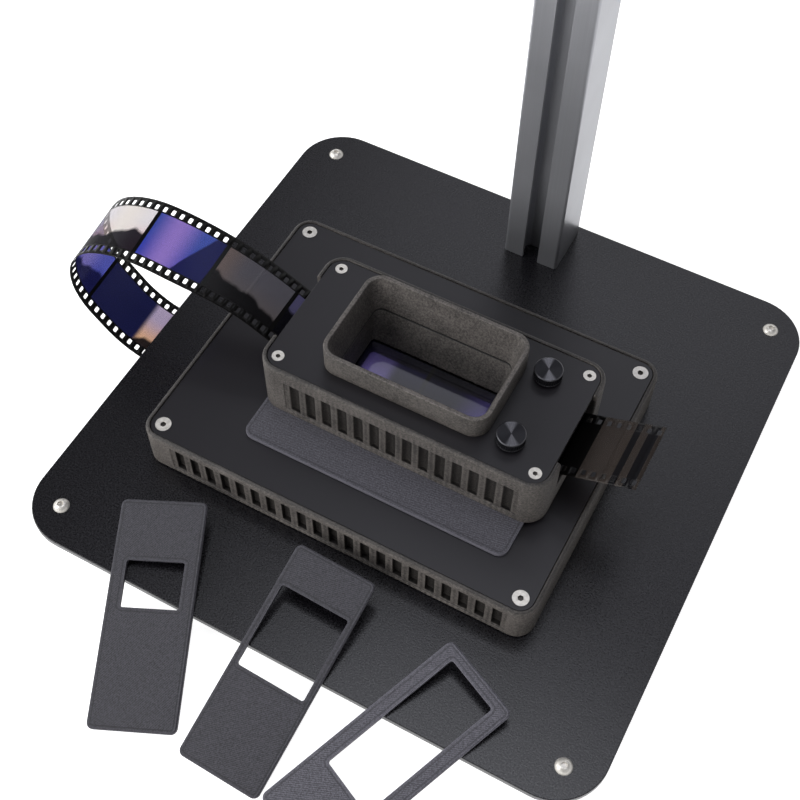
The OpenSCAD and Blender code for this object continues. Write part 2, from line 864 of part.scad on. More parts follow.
module film_bed() {
    inner = film_w + 2 * slip;
    color("#2a292c") translate([win_x, win_y, 0]) difference() {
        union() {
            translate([0, inner / 2, 0]) rotate([90, 0, 0]) linear_extrude(inner) bed_outline();
            for (s = [0, 180]) rotate(s) translate([-bed_w / 2, inner / 2 - weld, bed_base])
                cube([bed_w, fence_t + weld, bed_top - bed_base + fence_h]);
        }
        translate([0, 0, bed_base - cut])
            slab(win_w + 2 * bed_win_side, win_d + 2 * bed_win_side,
                 bed_top - bed_base + 2 * cut, win_r);
        corners(bed_screw_x, bed_screw_y) translate([0, 0, bed_base - cut])
            cylinder(d = m3_d + 2 * fit, h = bed_screw_bite + fit + cut);
    }
}

module film_bed_screws() {
    color("#b5b5b8") translate([win_x, win_y, carrier_z]) corners(bed_screw_x, bed_screw_y)
        mirror([0, 0, 1])
            flat_screw(m3_d, m3_head_d, m3_head_h, m3_af, carrier_floor + bed_screw_bite);
}

// Space between one rounded rectangle and a larger one above it
module funnel(w0, d0, r0, z0, w1, d1, r1, z1) {
    hull() {
        translate([0, 0, z0]) linear_extrude(skin) round_rect(w0, d0, r0, $fn = 32);
        translate([0, 0, z1 - skin]) linear_extrude(skin) round_rect(w1, d1, r1, $fn = 32);
    }
}

// Upper film guide: a funnel that ends just above the film, on a flange under the plate
module film_well() {
    z0 = film_z + well_gap;
    z1 = carrier_ledge;
    color("#504c49") translate([win_x, win_y, 0]) difference() {
        union() {
            translate([(flange_x0 + flange_x1) / 2, 0, z1 - flange_t])
                slab(flange_x1 - flange_x0, flange_d, flange_t, flange_r);
            funnel(win_w + 2 * well_wall, win_d + 2 * well_wall, win_r + well_wall, z0,
                   seam_w + 2 * well_wall, seam_d + 2 * well_wall, seam_r + well_wall, z1);
        }
        funnel(win_w, win_d, win_r, z0 - weld, seam_w, seam_d, seam_r, z1 + weld);
        for (y = [-1, 1]) translate([knob_x - win_x, y * knob_dy, z1 - flange_t - cut])
            cylinder(d = stud_d + 2 * fit, h = flange_t + 2 * cut);
    }
}

// Turned knob with a knurled side, a recessed neck and its stud, seated on z = 0
module knob() {
    difference() {
        union() {
            cylinder(d = knob_d - 2 * knob_neck_in, h = knob_neck_h + weld);
            translate([0, 0, knob_neck_h])
                cylinder(d = knob_d, h = knob_h - knob_neck_h - knob_bevel);
            translate([0, 0, knob_h - knob_bevel - weld])
                cylinder(d1 = knob_d, d2 = knob_d - 2 * knob_bevel, h = knob_bevel + weld);
        }
        for (i = [0:knurls - 1]) rotate(i * 360 / knurls)
            translate([knob_d / 2 + knurl_out, 0, knob_neck_h + knob_band])
                cylinder(r = knurl_r, h = knob_h - knob_neck_h - knob_bevel - 2 * knob_band,
                         $fn = 16);
    }
    translate([0, 0, -stud_len]) cylinder(d = stud_d, h = stud_len + weld);
}

module knob_front() {
    color("#121214") translate([knob_x, win_y - knob_dy, carrier_plate_z + knob_lift]) knob();
}

module knob_back() {
    color("#121214") translate([knob_x, win_y + knob_dy, carrier_plate_z + knob_lift]) knob();
}

module hood() {
    z0 = carrier_plate_z;
    color("#5a5551") translate([win_x, win_y, 0]) difference() {
        union() {
            translate([0, 0, z0]) slab(hood_w, hood_d, hood_h, hood_r);
            translate([0, 0, z0 - spigot_h])
                slab(seam_w + 2 * spigot_t, seam_d + 2 * spigot_t, spigot_h + weld,
                     seam_r + spigot_t);
        }
        funnel(seam_w, seam_d, seam_r, z0 - spigot_h - weld,
               hood_w - 2 * hood_wall, hood_d - 2 * hood_wall, hood_r - hood_wall,
               z0 + hood_h + weld);
    }
}

// The strip seen from its edge
module film_outline() {
    polygon([
        for (p = FOLDS) [p[0] - sin(p[2]) * film_t / 2, p[1] + cos(p[2]) * film_t / 2],
        for (i = [len(FOLDS) - 1:-1:0]) let (p = FOLDS[i])
            [p[0] + sin(p[2]) * film_t / 2, p[1] - cos(p[2]) * film_t / 2],
    ]);
}

// The children at both perforations of every flat, square to it
module perforations() {
    row = film_w / 2 - perf_in - perf_w / 2;
    for (i = [0:holes - 1], side = [-1, 1]) {
        a = FOLDS[i];
        b = FOLDS[i + 1];
        part = (perf_start + i * perf_pitch - FLAT_ENDS[i]) / (FLAT_ENDS[i + 1] - FLAT_ENDS[i]);
        translate([a[0] + part * (b[0] - a[0]), side * row, a[1] + part * (b[1] - a[1])])
            rotate([0, -atan2(b[1] - a[1], b[0] - a[0]), 0]) children();
    }
}

module film_strip() {
    color("#2a2018") translate([0, win_y, 0]) difference() {
        translate([0, film_w / 2, 0]) rotate([90, 0, 0]) linear_extrude(film_w) film_outline();
        perforations() cube([perf_l, perf_w, perf_deep], center = true);
    }
}

// Mask that leans from the board's front edge down to the floor: its place along the edge,
// how far its middle lies out from the edge, its turn and its window
module loose_mask(x, out, turn, win_w, win_l) {
    tip = out + mask_l / 2 * cos(turn) + mask_w / 2 * abs(sin(turn));
    tilt = asin((board_top + gap - mask_floor_gap) / tip);
    color("#4a494e") translate([0, -board_w / 2, board_top + gap]) rotate([tilt, 0, 0])
        translate([x, -out, 0]) rotate(turn) difference() {
            union() {
                slab(mask_w, mask_l, mask_t - mask_edge, mask_r);
                slab(mask_w - 2 * mask_edge, mask_l - 2 * mask_edge, mask_t, mask_r - mask_edge);
            }
            translate([0, mask_l / 2 - mask_win_at, -cut])
                slab(win_w, win_l, mask_t + 2 * cut, mask_win_r);
        }
}

module mask_left() {
    loose_mask(mask_left_x, mask_left_out, mask_left_turn, mask_left_win_w, mask_left_win_l);
}

module mask_middle() {
    loose_mask(mask_middle_x, mask_middle_out, mask_middle_turn, mask_middle_win_w,
               mask_middle_win_l);
}

module mask_right() {
    loose_mask(mask_right_x, mask_right_out, mask_right_turn, mask_right_win_w,
               mask_right_win_l);
}

base_board();
board_feet();
foot_screws();
column();
column_cap();
column_bolt();
column_washer();
camera_carriage();
carriage_pad();
carriage_knob();
camera_arm();
arm_screws();
camera_screw();
light_box_body();
light_pads();
light_top_plate();
light_plate_screws();
light_diffuser();
led_board();
led_chips();
power_socket();
power_switch();
power_button();
insert_mask();
carrier_body();
carrier_top_plate();
carrier_plate_screws();
film_bed();
film_bed_screws();
film_well();
knob_front();
knob_back();
hood();
film_strip();
mask_left();
mask_middle();
mask_right();
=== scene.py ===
"""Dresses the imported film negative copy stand: finishes for every part, the film strip as a
perforated sheet with pictures, and a plain pale studio. Metres, Z up, in the part's own frame."""

import math
from functools import partial
from typing import NamedTuple

import bmesh
import bpy
from bpy.props import FloatProperty, FloatVectorProperty, PointerProperty
from mathutils import Matrix, Vector


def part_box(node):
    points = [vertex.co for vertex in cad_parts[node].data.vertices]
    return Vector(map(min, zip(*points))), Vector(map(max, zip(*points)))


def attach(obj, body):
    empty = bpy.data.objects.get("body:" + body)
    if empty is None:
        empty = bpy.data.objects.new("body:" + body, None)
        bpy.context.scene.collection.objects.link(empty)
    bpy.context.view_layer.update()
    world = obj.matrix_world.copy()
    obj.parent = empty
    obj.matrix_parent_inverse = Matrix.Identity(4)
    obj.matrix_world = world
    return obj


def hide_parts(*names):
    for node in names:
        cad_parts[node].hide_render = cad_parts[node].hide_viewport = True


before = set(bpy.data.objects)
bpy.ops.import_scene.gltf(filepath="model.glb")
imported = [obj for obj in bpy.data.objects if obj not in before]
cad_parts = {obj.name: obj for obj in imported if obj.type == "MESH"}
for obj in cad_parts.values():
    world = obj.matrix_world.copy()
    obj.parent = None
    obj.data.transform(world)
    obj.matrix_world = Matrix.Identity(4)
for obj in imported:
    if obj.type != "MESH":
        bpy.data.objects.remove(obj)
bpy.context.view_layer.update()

bl_info = {
    "name": "Film Negative Copy Stand",
    "version": (1, 0, 0),
    "blender": (4, 5, 0),
    "location": "View3D > Sidebar > Copy Stand",
    "description": "Finishes, film strip and studio for a film negative copy stand",
    "category": "Object",
}

MM = 0.001


# Shared helpers


def linear(hex_colour):
    """An sRGB hex value such as "#4a4643" as a linear colour with alpha."""
    shares = [int(hex_colour[i : i + 2], 16) / 255 for i in (1, 3, 5)]
    return (*(s / 12.92 if s <= 0.04045 else ((s + 0.055) / 1.055) ** 2.4 for s in shares), 1.0)


def scaled(colour, share):
    """A colour from the settings, lighter or darker by a share, with alpha."""
    return (*(min(1.0, share * c) for c in colour), 1.0)


def wave_scale(pitch):
    """The wave texture's scale that draws its lines a pitch apart."""
    return math.pi / (10 * pitch)


def join(value, node, name):
    """Fills a node's input, or links it to a socket or to the first output of a node."""
    if isinstance(value, bpy.types.Node):
        value = next(output for output in value.outputs if output.enabled)
    if isinstance(value, bpy.types.NodeSocket):
        node.id_data.links.new(value, node.inputs[name])
    else:
        node.inputs[name].default_value = value


def configure(target, **settings):
    """Sets properties of a node, modifier, object or light, and returns it."""
    for name, value in settings.items():
        setattr(target, name, value)
    return target


def add_node(tree, kind, *values, **settings):
    """Adds a shader node, sets its properties, and fills or links its inputs: in their order, or
    by name from a dictionary."""
    made = configure(tree.nodes.new("ShaderNode" + kind), **settings)
    named = values[0] if values and isinstance(values[0], dict) else dict(enumerate(values))
    for name, value in named.items():
        join(value, made, name)
    return made


def adder(owner):
    """Clears a material or a world, and returns the function that adds a node to it."""
    owner.use_nodes = True
    owner.node_tree.nodes.clear()
    return partial(add_node, owner.node_tree)


def material(name, **sockets):
    """A material with a Principled surface: returns it, its adder and its surface."""
    made = bpy.data.materials.new(name)
    add = adder(made)
    surface = add("BsdfPrincipled", {k.replace("_", " "): v for k, v in sockets.items()})
    add("OutputMaterial", surface)
    return made, add, surface


def place(add):
    """The place on the part in metres, in the frame of the part."""
    return add("TexCoord").outputs["Object"]


def stops(ramp, *pairs, interpolation="LINEAR"):
    """Sets a colour ramp's stops from (position, colour) pairs."""
    ramp.color_ramp.interpolation = interpolation
    elements = ramp.color_ramp.elements
    while len(elements) > 1:
        elements.remove(elements[-1])
    elements[0].position, elements[0].color = pairs[0]
    for position, colour in pairs[1:]:
        elements.new(position).color = colour


def tint(add, surface, fac, dark, light, low=0.35, high=0.65, socket="Base Color"):
    """Runs a colour of the surface from dark to light over a factor."""
    ramp = add("ValToRGB", fac)
    stops(ramp, (low, dark), (high, light))
    join(ramp, surface, socket)
    return ramp


def marked(add, shade, *marks):
    """Adds (mark, weight) pairs to a shade."""
    for mark, weight in marks:
        shade = add("Math", mark, weight, shade, operation="MULTIPLY_ADD")
    return shade


def relief(add, surface, *layers):
    """Stacks (height, depth in mm) layers of bump on a surface."""
    normal = None
    for height, depth in layers:
        bump = {"Height": height, "Distance": depth * MM}
        normal = add("Bump", bump if normal is None else {**bump, "Normal": normal})
    join(normal, surface, "Normal")


def outline_distance(add, where, middle, halves, radius):
    """Distance outwards from a rounded rectangle in the XY plane of where."""
    moved = add("VectorMath", where, (*middle, 0), operation="SUBTRACT")
    folded = add("VectorMath", moved, operation="ABSOLUTE")
    inner = (halves[0] - radius, halves[1] - radius, 1.0)
    past = add("VectorMath", folded, inner, operation="SUBTRACT")
    outside = add("VectorMath", past, (0, 0, 0), operation="MAXIMUM")
    length = add("VectorMath", outside, operation="LENGTH").outputs["Value"]
    return add("Math", length, radius, operation="SUBTRACT")


def put(name, data):
    """Adds an object with its data to the scene."""
    made = bpy.data.objects.new(name, data)
    bpy.context.scene.collection.objects.link(made)
    return made


# points nearer than the first are welded, facets that turn by less than the second are joined,
# and edges that turn by more than the third are eased
WELD, FLAT_TURN, SHARP_TURN = 0.002 * MM, math.radians(0.3), math.radians(35)
# how far under the top and inside the corners' circle a point of the rim may lie, in mm
RIM_UNDER, RIM_INSIDE = 0.02, 0.05


def dress(node, finish, edge=0.0, rim=0.0, corner=0.0):
    """Gives a part its finish and, with an edge in mm, eases its sharp edges. A rim in mm rounds
    the outer top edge of a box whose corners have a radius in mm."""
    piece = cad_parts[node]
    skins = piece.data.materials
    if len(skins) == 0:
        skins.append(finish)
    for i in range(len(skins)):
        skins[i] = finish
    if not edge:
        return
    more = piece.modifiers.new
    configure(more("weld", "WELD"), merge_threshold=WELD)
    configure(more("joined_flats", "DECIMATE"), decimate_type="DISSOLVE", angle_limit=FLAT_TURN)
    if rim:
        low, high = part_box(node)
        middle, inner = (low + high).xy / 2, (high - low).xy / 2 - Vector((corner, corner)) * MM
        around = piece.vertex_groups.new(name="rim")
        for vertex in piece.data.vertices:
            off = vertex.co.xy - middle
            past = Vector((max(0, abs(off.x) - inner.x), max(0, abs(off.y) - inner.y)))
            at_top = vertex.co.z > high.z - RIM_UNDER * MM
            if at_top and past.length > (corner - RIM_INSIDE) * MM:
                around.add([vertex.index], 1.0, "REPLACE")
        configure(more("rounded_rim", "BEVEL"), limit_method="VGROUP", vertex_group="rim",
                  width=rim * MM, segments=4, use_clamp_overlap=False)
    configure(more("eased_edges", "BEVEL"), limit_method="ANGLE", angle_limit=SHARP_TURN,
              width=edge * MM, segments=2, use_clamp_overlap=False)
    configure(more("shading", "WEIGHTED_NORMAL"), keep_sharp=False, weight=80)


# Settings


def colour_setting(name, hex_colour, description):
    """A colour, from its hex default."""
    return FloatVectorProperty(name=name, description=description, subtype="COLOR",
                               default=linear(hex_colour)[:3], min=0, max=1)


def size_setting(name, size, description):
    """A size, from its default in metres."""
    return FloatProperty(name=name, description=description, default=size, unit="LENGTH",
                         precision=5)


def power_setting(name, power, description):
    """The power of a lamp."""
    return FloatProperty(name=name, description=description, default=power, unit="POWER")


class CopyStandColours(bpy.types.PropertyGroup):
    """Colours that a user would change, as linear values of the hex defaults."""

    board: colour_setting("Board", "#0f0e12", "Laminate of the base board")
    plate: colour_setting("Plates", "#141216", "Matte plates on the light box and the carrier")
    body: colour_setting("Printed bodies", "#4d4946", "Filament of the boxes and the hood")
    mask: colour_setting("Masks", "#46454b", "Filament of the loose masks and the insert")
    metal: colour_setting("Column", "#aeafb4", "Silver anodising of the column")
    rebate: colour_setting("Film rebate", "#0a0909", "Film between and beside the pictures")


class CopyStandSizes(bpy.types.PropertyGroup):
    """Sizes of the finish and of the pictures on the film."""

    layer: size_setting("Layer height", 0.55 * MM, "Height of one printed layer as it is drawn")
    raster: size_setting("Raster pitch", 0.85 * MM, "Distance between printed lines on a mask")
    frame_pitch: size_setting("Frame pitch", 38 * MM, "Distance from one picture to the next")
    frame_gap: size_setting("Frame gap", 2 * MM, "Dark bar between two pictures")
    film_thickness: size_setting("Film thickness", 0.2 * MM, "Thickness of the film")


class CopyStandStage(bpy.types.PropertyGroup):
    """The studio round the stand."""

    floor: FloatProperty(
        name="Floor width", description="Side of the square floor", default=8.0, unit="LENGTH")
    glow: FloatProperty(
        name="Lamp glow", description="Strength of the light behind the diffuser", default=1.1)
    key: power_setting("Overhead", 7.4, "Power of the softbox above")
    back: power_setting("Behind", 4.7, "Power of the softbox high behind")
    left: power_setting("Front left", 16.0, "Power of the softbox at the front on the left")
    front: power_setting("Front", 22.0, "Power of the softbox in front")
    side: power_setting("Left", 4.0, "Power of the softbox on the left")
    ambient: FloatProperty(
        name="Ambient", description="Strength of the light from all round", default=0.06)


# Finishes


def plain_skin(name, dark, light, grain, depth, detail=2.0, **sockets):
    """A plain surface whose colour runs from dark to light over a grain of a size in mm, which
    stands out by a depth in mm."""
    made, add, surface = material(name, **sockets)
    skin = add("TexNoise", {"Vector": place(add), "Scale": 1 / (grain * MM), "Detail": detail})
    tint(add, surface, skin, linear(dark), linear(light))
    if depth:
        relief(add, surface, (skin, depth))
    return made


def moulded_rubber():
    """Moulded rubber: near black, no clear highlight, a fine even skin."""
    return plain_skin("moulded_rubber", "#161618", "#222224", 0.5, 0.05, Roughness=0.8, IOR=1.52)


def moulded_black():
    """Injection moulded black ABS: deep black with a soft satin skin."""
    return plain_skin("moulded_abs_black", "#121214", "#1c1c1f", 0.6, 0.02, Roughness=0.4,
                      IOR=1.54)


def moulded_red():
    """Injection moulded red ABS: a glossy button cap."""
    return plain_skin("moulded_abs_red", "#86191a", "#9a2322", 1.0, 0.01, Roughness=0.25, IOR=1.54)


def turned_brass():
    """Turned brass: warm yellow metal, slightly dulled."""
    return plain_skin("turned_brass", "#a98449", "#c9a465", 1.5, 0.01, 3.0, Metallic=1.0,
                      Roughness=0.35)


def phosphor_gel():
    """Silicone with yellow phosphor: a matt, milky yellow dome over each lamp chip, with no
    relief."""
    return plain_skin("phosphor_gel", "#ecd265", "#f6e48c", 2.0, 0.0, 1.0, Roughness=0.5, IOR=1.41)


def powder_coat():
    """Black polyester powder coat on steel: an orange peel skin with a low sheen."""
    made, add, surface = material("black_powder_coat", Roughness=0.45, IOR=1.5)
    where = place(add)
    peel = add("TexNoise", {"Vector": where, "Scale": 1 / (0.9 * MM), "Detail": 1.0})
    cloud = add("TexNoise", {"Vector": where, "Scale": 1 / (30 * MM)})
    tint(add, surface, cloud, linear("#222225"), linear("#2c2c2f"))
    relief(add, surface, (peel, 0.1))
    return made


def phenolic_laminate(colours):
    """High pressure phenolic laminate with a fine pressed skin: black, with tiny pale specks
    drawn where its grain is high: painted glints, standing in for where the skin catches the
    light."""
    made, add, surface = material("phenolic_laminate", IOR=1.5, Specular_IOR_Level=0.6)
    where = place(add)
    # the skin's grain is about 0.3 mm, drawn at 0.8 mm so that it shows
    grain = add("TexNoise", {"Vector": where, "Scale": 1 / (0.8 * MM), "Roughness": 0.6})
    cloud = add("TexNoise", {"Vector": where, "Scale": 1 / (90 * MM), "Detail": 3.0})
    # painted glints: the grain's high points are drawn as pale specks
    tint(add, surface, marked(add, grain, (cloud, 0.3)), scaled(colours.board, 0.75),
         scaled(colours.board, 2.2), 0.62, 0.88)
    join(add("MapRange", grain, 0.3, 0.7, 0.2, 0.38), surface, "Roughness")
    relief(add, surface, (grain, 0.045))
    return made


def matte_plate(colours):
    """Bead blasted and black anodised aluminium plate: an even matte black with a soft, wide
    sheen and no texture that the eye can follow."""
    made, add, surface = material("black_anodised_plate", Roughness=0.35, IOR=1.5,
                                  Specular_IOR_Level=0.6)
    where = place(add)
    grain = add("TexNoise", {"Vector": where, "Scale": 1 / (0.35 * MM)})
    cloud = add("TexNoise", {"Vector": where, "Scale": 1 / (60 * MM)})
    tint(add, surface, cloud, scaled(colours.plate, 1.0), scaled(colours.plate, 1.2))
    relief(add, surface, (grain, 0.012))
    return made


# how often the nozzle rings from one slot to the next
RINGS_PER_SLOT = 3
# how far inside a fluted box's outline its painted shade starts and is full, and how full that is
FLUTE_PAINTED_SHADE = 0.3 * MM, 1.0 * MM, 0.8
# half the height of the dark joint between two printed parts
SEAM_HALF = 0.35 * MM


def printed_walls(name, colours, sizes, lift, grain_depth=0.09, level_lift=1.0, recess=None,
                  seam=None, slots=None):
    """Printed PETG, laid up in layers: warm grey, with fine lines round the walls and the
    slightly gritty skin that each line of filament leaves. lift sets how light the walls are
    drawn, painted light: a tone per part that stands in for how light falls on it. level_lift
    scales the colour of the upward faces, lighter above 1 and darker below, painted light and
    shade on the tops. recess is the (middle, halves, corner radius, top) of a fluted box,
    whose flutes get painted shade: their floors are drawn darker and with less shine. seam is
    the height of a joint, a dark gap. slots is the (first place, pitch, count) of a box's slots
    along X, whose edges make the nozzle ring and leave upright lines between them."""
    made, add, surface = material(name, Roughness=0.6, IOR=1.57)
    where = place(add)
    spot = add("SeparateXYZ", where)
    # a layer is 0.2 mm, drawn as coarse as the layer setting says so that it shows
    layers = add("TexWave",
                 {"Vector": where, "Scale": wave_scale(sizes.layer), "Distortion": 0.6,
                  "Detail": 1.0, "Detail Scale": 0.2},
                 bands_direction="Z").outputs["Fac"]
    # the grit is about 0.3 mm, drawn at 1 mm so that it shows
    grit = add("TexNoise", {"Vector": where, "Scale": 1 / (1.0 * MM), "Detail": 4.0,
                            "Roughness": 0.8})
    patch = add("TexNoise", {"Vector": where, "Scale": 1 / (14 * MM)})
    marks = [(patch, 0.25), (layers, 0.1)]
    if slots:
        first, pitch, count = slots
        turn = 2 * math.pi * RINGS_PER_SLOT / pitch
        phase = add("Math", spot.outputs["X"], turn, -turn * first, operation="MULTIPLY_ADD")
        rings = add("Math", phase, operation="COSINE")
        low = add("Math", spot.outputs["Z"], recess[-1], operation="LESS_THAN")
        between = add("Math", spot.outputs["X"], first + (count - 1) / 2 * pitch,
                      count / 2 * pitch, operation="COMPARE")
        kept = add("Math", low, between, operation="MULTIPLY")
        marks.append((add("Math", rings, kept, operation="MULTIPLY"), 0.05))
    # painted light: lift scales the colour to a tone per part, standing in for how light falls on
    # it
    colour = tint(add, surface, marked(add, grit, *marks), scaled(colours.body, 0.35 * lift),
                  scaled(colours.body, 1.75 * lift), 0.55, 0.8)
    # painted light and shade: the upward faces are drawn lighter or darker as light falls on them
    if level_lift != 1.0:
        facing = add("SeparateXYZ", add("TexCoord").outputs["Normal"])
        level = add("MapRange", facing.outputs["Z"], 0.25, 0.8, 1.0, level_lift)
        colour = add("VectorMath", {0: colour, "Scale": level}, operation="SCALE")
    # painted shade: the floors of the flutes are drawn darker, down to near black
    if recess:
        *outline, top = recess
        start, full, most = FLUTE_PAINTED_SHADE
        depth = add("MapRange", outline_distance(add, where, *outline), -start, -full, 0.0, most)
        under = add("Math", spot.outputs["Z"], top, operation="LESS_THAN")
        painted_flute_shade = add("Math", depth, under, operation="MULTIPLY")
        colour = add("Mix", {"Factor": painted_flute_shade, "A": colour, "B": linear("#0d0c0c")},
                     data_type="RGBA")
        # painted shade on reflections too: the flute floors get less shine, standing in for the
        # bright room that they see less of
        shine = add("MapRange", painted_flute_shade, 0.0, 1.0, 0.5, 0.05)
        join(shine, surface, "Specular IOR Level")
    if seam is not None:
        gap = add("Math", spot.outputs["Z"], seam, SEAM_HALF, operation="COMPARE")
        colour = add("Mix", {"Factor": gap, "A": colour, "B": linear("#060606")}, data_type="RGBA")
    join(colour, surface, "Base Color")
    relief(add, surface, (layers, 0.07), (grit, grain_depth))
    return made


# the slant of a sheet's last layer, and its window's corner radius
RASTER_TURN, WINDOW_CORNER = math.radians(45), 1.2 * MM
# how many lines follow a sheet's outline, half the width of the dark line of painted groove shade
# inside them, and the width of its rim of painted highlight
OUTLINE_ROWS, GROOVE_HALF, RIM_PAINTED_HIGHLIGHT = 2, 0.2 * MM, 0.5 * MM


def printed_sheet(name, colours, sizes, spot, halves, radius, window, lift):
    """Printed PLA sheet: dark grey, with the slanting lines of its last layer inside two lines
    that follow its outline and its window. A dark line of painted shade stands for a groove
    inside those lines, and a painted highlight lightens a thin rim along the outline and the
    window. lift sets how light the sheet is drawn, painted light that stands in for how light
    falls on it. spot puts the pattern in the sheet's own frame."""
    made, add, surface = material(name, Roughness=0.55, IOR=1.46)
    where = place(add)
    local = add("Mapping", {"Vector": where, "Location": spot.translation,
                            "Rotation": spot.to_euler()}, vector_type="TEXTURE")
    turned = add("Mapping", {"Vector": local, "Rotation": (0, 0, RASTER_TURN)})
    raster = add("TexWave",
                 {"Vector": turned, "Scale": wave_scale(sizes.raster), "Distortion": 0.25,
                  "Detail": 1.0, "Detail Scale": 0.3}).outputs["Fac"]
    outline = outline_distance(add, local, (0, 0), halves, radius)
    nearest = add("Math", outline, -1.0, operation="MULTIPLY")
    if window:
        opening = outline_distance(add, local, *window, WINDOW_CORNER)
        nearest = add("Math", nearest, opening, operation="MINIMUM")
    # the outline's lines are 0.45 mm wide, drawn at the raster's pitch
    phase = add("Math", nearest, 2 * math.pi / sizes.raster, operation="MULTIPLY")
    crests = add("Math", phase, operation="COSINE")
    lines = add("MapRange", crests, -1.0, 1.0, 0.0, 1.0)
    rows = OUTLINE_ROWS * sizes.raster
    inside = add("Math", nearest, rows, operation="GREATER_THAN")
    height = add("Mix", {"Factor": inside, "A": lines, "B": raster})
    # painted shade: a dark line where a groove inside the outline's lines would be
    painted_groove_shade = add("Math", nearest, rows, GROOVE_HALF, operation="COMPARE")
    # painted highlight: a lighter rim along the outline and the window
    rim = add("Math", nearest, RIM_PAINTED_HIGHLIGHT, operation="LESS_THAN")
    # the grit is about 0.3 mm, drawn at 0.7 mm so that it shows
    grit = add("TexNoise", {"Vector": where, "Scale": 1 / (0.7 * MM), "Detail": 4.0,
                            "Roughness": 0.75})
    shade = marked(add, grit, (height, 0.14), (painted_groove_shade, -0.2), (rim, 0.12))
    tint(add, surface, shade, scaled(colours.mask, 0.5 * lift), scaled(colours.mask, 1.5 * lift),
         0.45, 0.7)
    relief(add, surface, (height, 0.04), (grit, 0.15))
    return made


# how far under the heads the painted shade in a screw's socket starts
SOCKET_UNDER = 0.25 * MM


def turned_stainless(name, head=None):
    """Turned and tumbled stainless steel: a warm, pale silver with a few soft stains and enough
    scatter to look bright from every side. With the height of the heads in metres, the sockets
    that sink under it are drawn dark: painted shade in the hollows."""
    made, add, surface = material(name, Metallic=0.45)
    where = place(add)
    stain = add("TexNoise", {"Vector": where, "Scale": 1 / (1.6 * MM), "Detail": 3.0})
    ramp = tint(add, surface, stain, linear("#dcd8d0"), linear("#f1ede6"))
    if head is not None:
        spot = add("SeparateXYZ", where)
        # painted shade: the socket below the heads is drawn dark
        sunk = add("Math", spot.outputs["Z"], head - SOCKET_UNDER, operation="LESS_THAN")
        painted_socket_shade = add("Mix", {"Factor": sunk, "A": ramp, "B": linear("#5a5652")}, data_type="RGBA")
        join(painted_socket_shade, surface, "Base Color")
    join(add("MapRange", stain, 0.0, 1.0, 0.26, 0.44), surface, "Roughness")
    relief(add, surface, (stain, 0.02))
    return made


def anodised_extrusion(colours):
    """Satin anodised aluminium extrusion: cool silver, with faint die lines along it that
    draw its reflections out lengthways, and the milky scatter of its oxide skin."""
    made, add, surface = material(
        "satin_anodised_extrusion", Metallic=0.6, Roughness=0.34, Anisotropic=0.3)
    where = place(add)
    # the grain is drawn out along the column until it is lines
    drawn = add("Mapping", {"Vector": where, "Scale": (1.0, 1.0, 0.004)})
    # die lines are a few hundredths of a millimetre, drawn at 0.5 mm so that they show
    lines = add("TexNoise", {"Vector": drawn, "Scale": 1 / (0.5 * MM)})
    cloud = add("TexNoise", {"Vector": where, "Scale": 1 / (40 * MM)})
    tint(add, surface, marked(add, cloud, (lines, 0.5)), scaled(colours.metal, 0.9),
         scaled(colours.metal, 1.08), 0.5, 1.0)
    relief(add, surface, (lines, 0.012))
    return made


def opal_acrylic(stage):
    """Cast opal acrylic: milky white, satin, and lit softly from behind by the lamp board, with
    a slow change from white to a cooler white."""
    made, add, surface = material(
        "opal_acrylic", Base_Color=linear("#f2f2ee"), Roughness=0.35, IOR=1.49,
        Emission_Strength=stage.glow)
    haze = add("TexNoise", {"Vector": place(add), "Scale": 1 / (25 * MM), "Detail": 1.0})
    tint(add, surface, haze, linear("#dfe4f2"), linear("#ffffff"), 0.3, 0.7, "Emission Color")
    return made


def solder_mask():
    """White solder mask on a lamp board: glossy white with faint copper shapes under it."""
    made, add, surface = material("white_solder_mask", Roughness=0.3, IOR=1.5)
    copper = add("TexBrick", {"Vector": place(add), "Scale": 1 / (26 * MM),
                              "Mortar Size": 0.03, "Color1": linear("#e6e8e6"),
                              "Color2": linear("#dfe2df"), "Mortar": linear("#cfd4cf")})
    join(copper, surface, "Base Color")
    return made


# the turn from X of the knobs' two opposite sectors that are drawn lighter and smoother: painted
# highlight
PAINTED_FAN_TURN = math.radians(118)


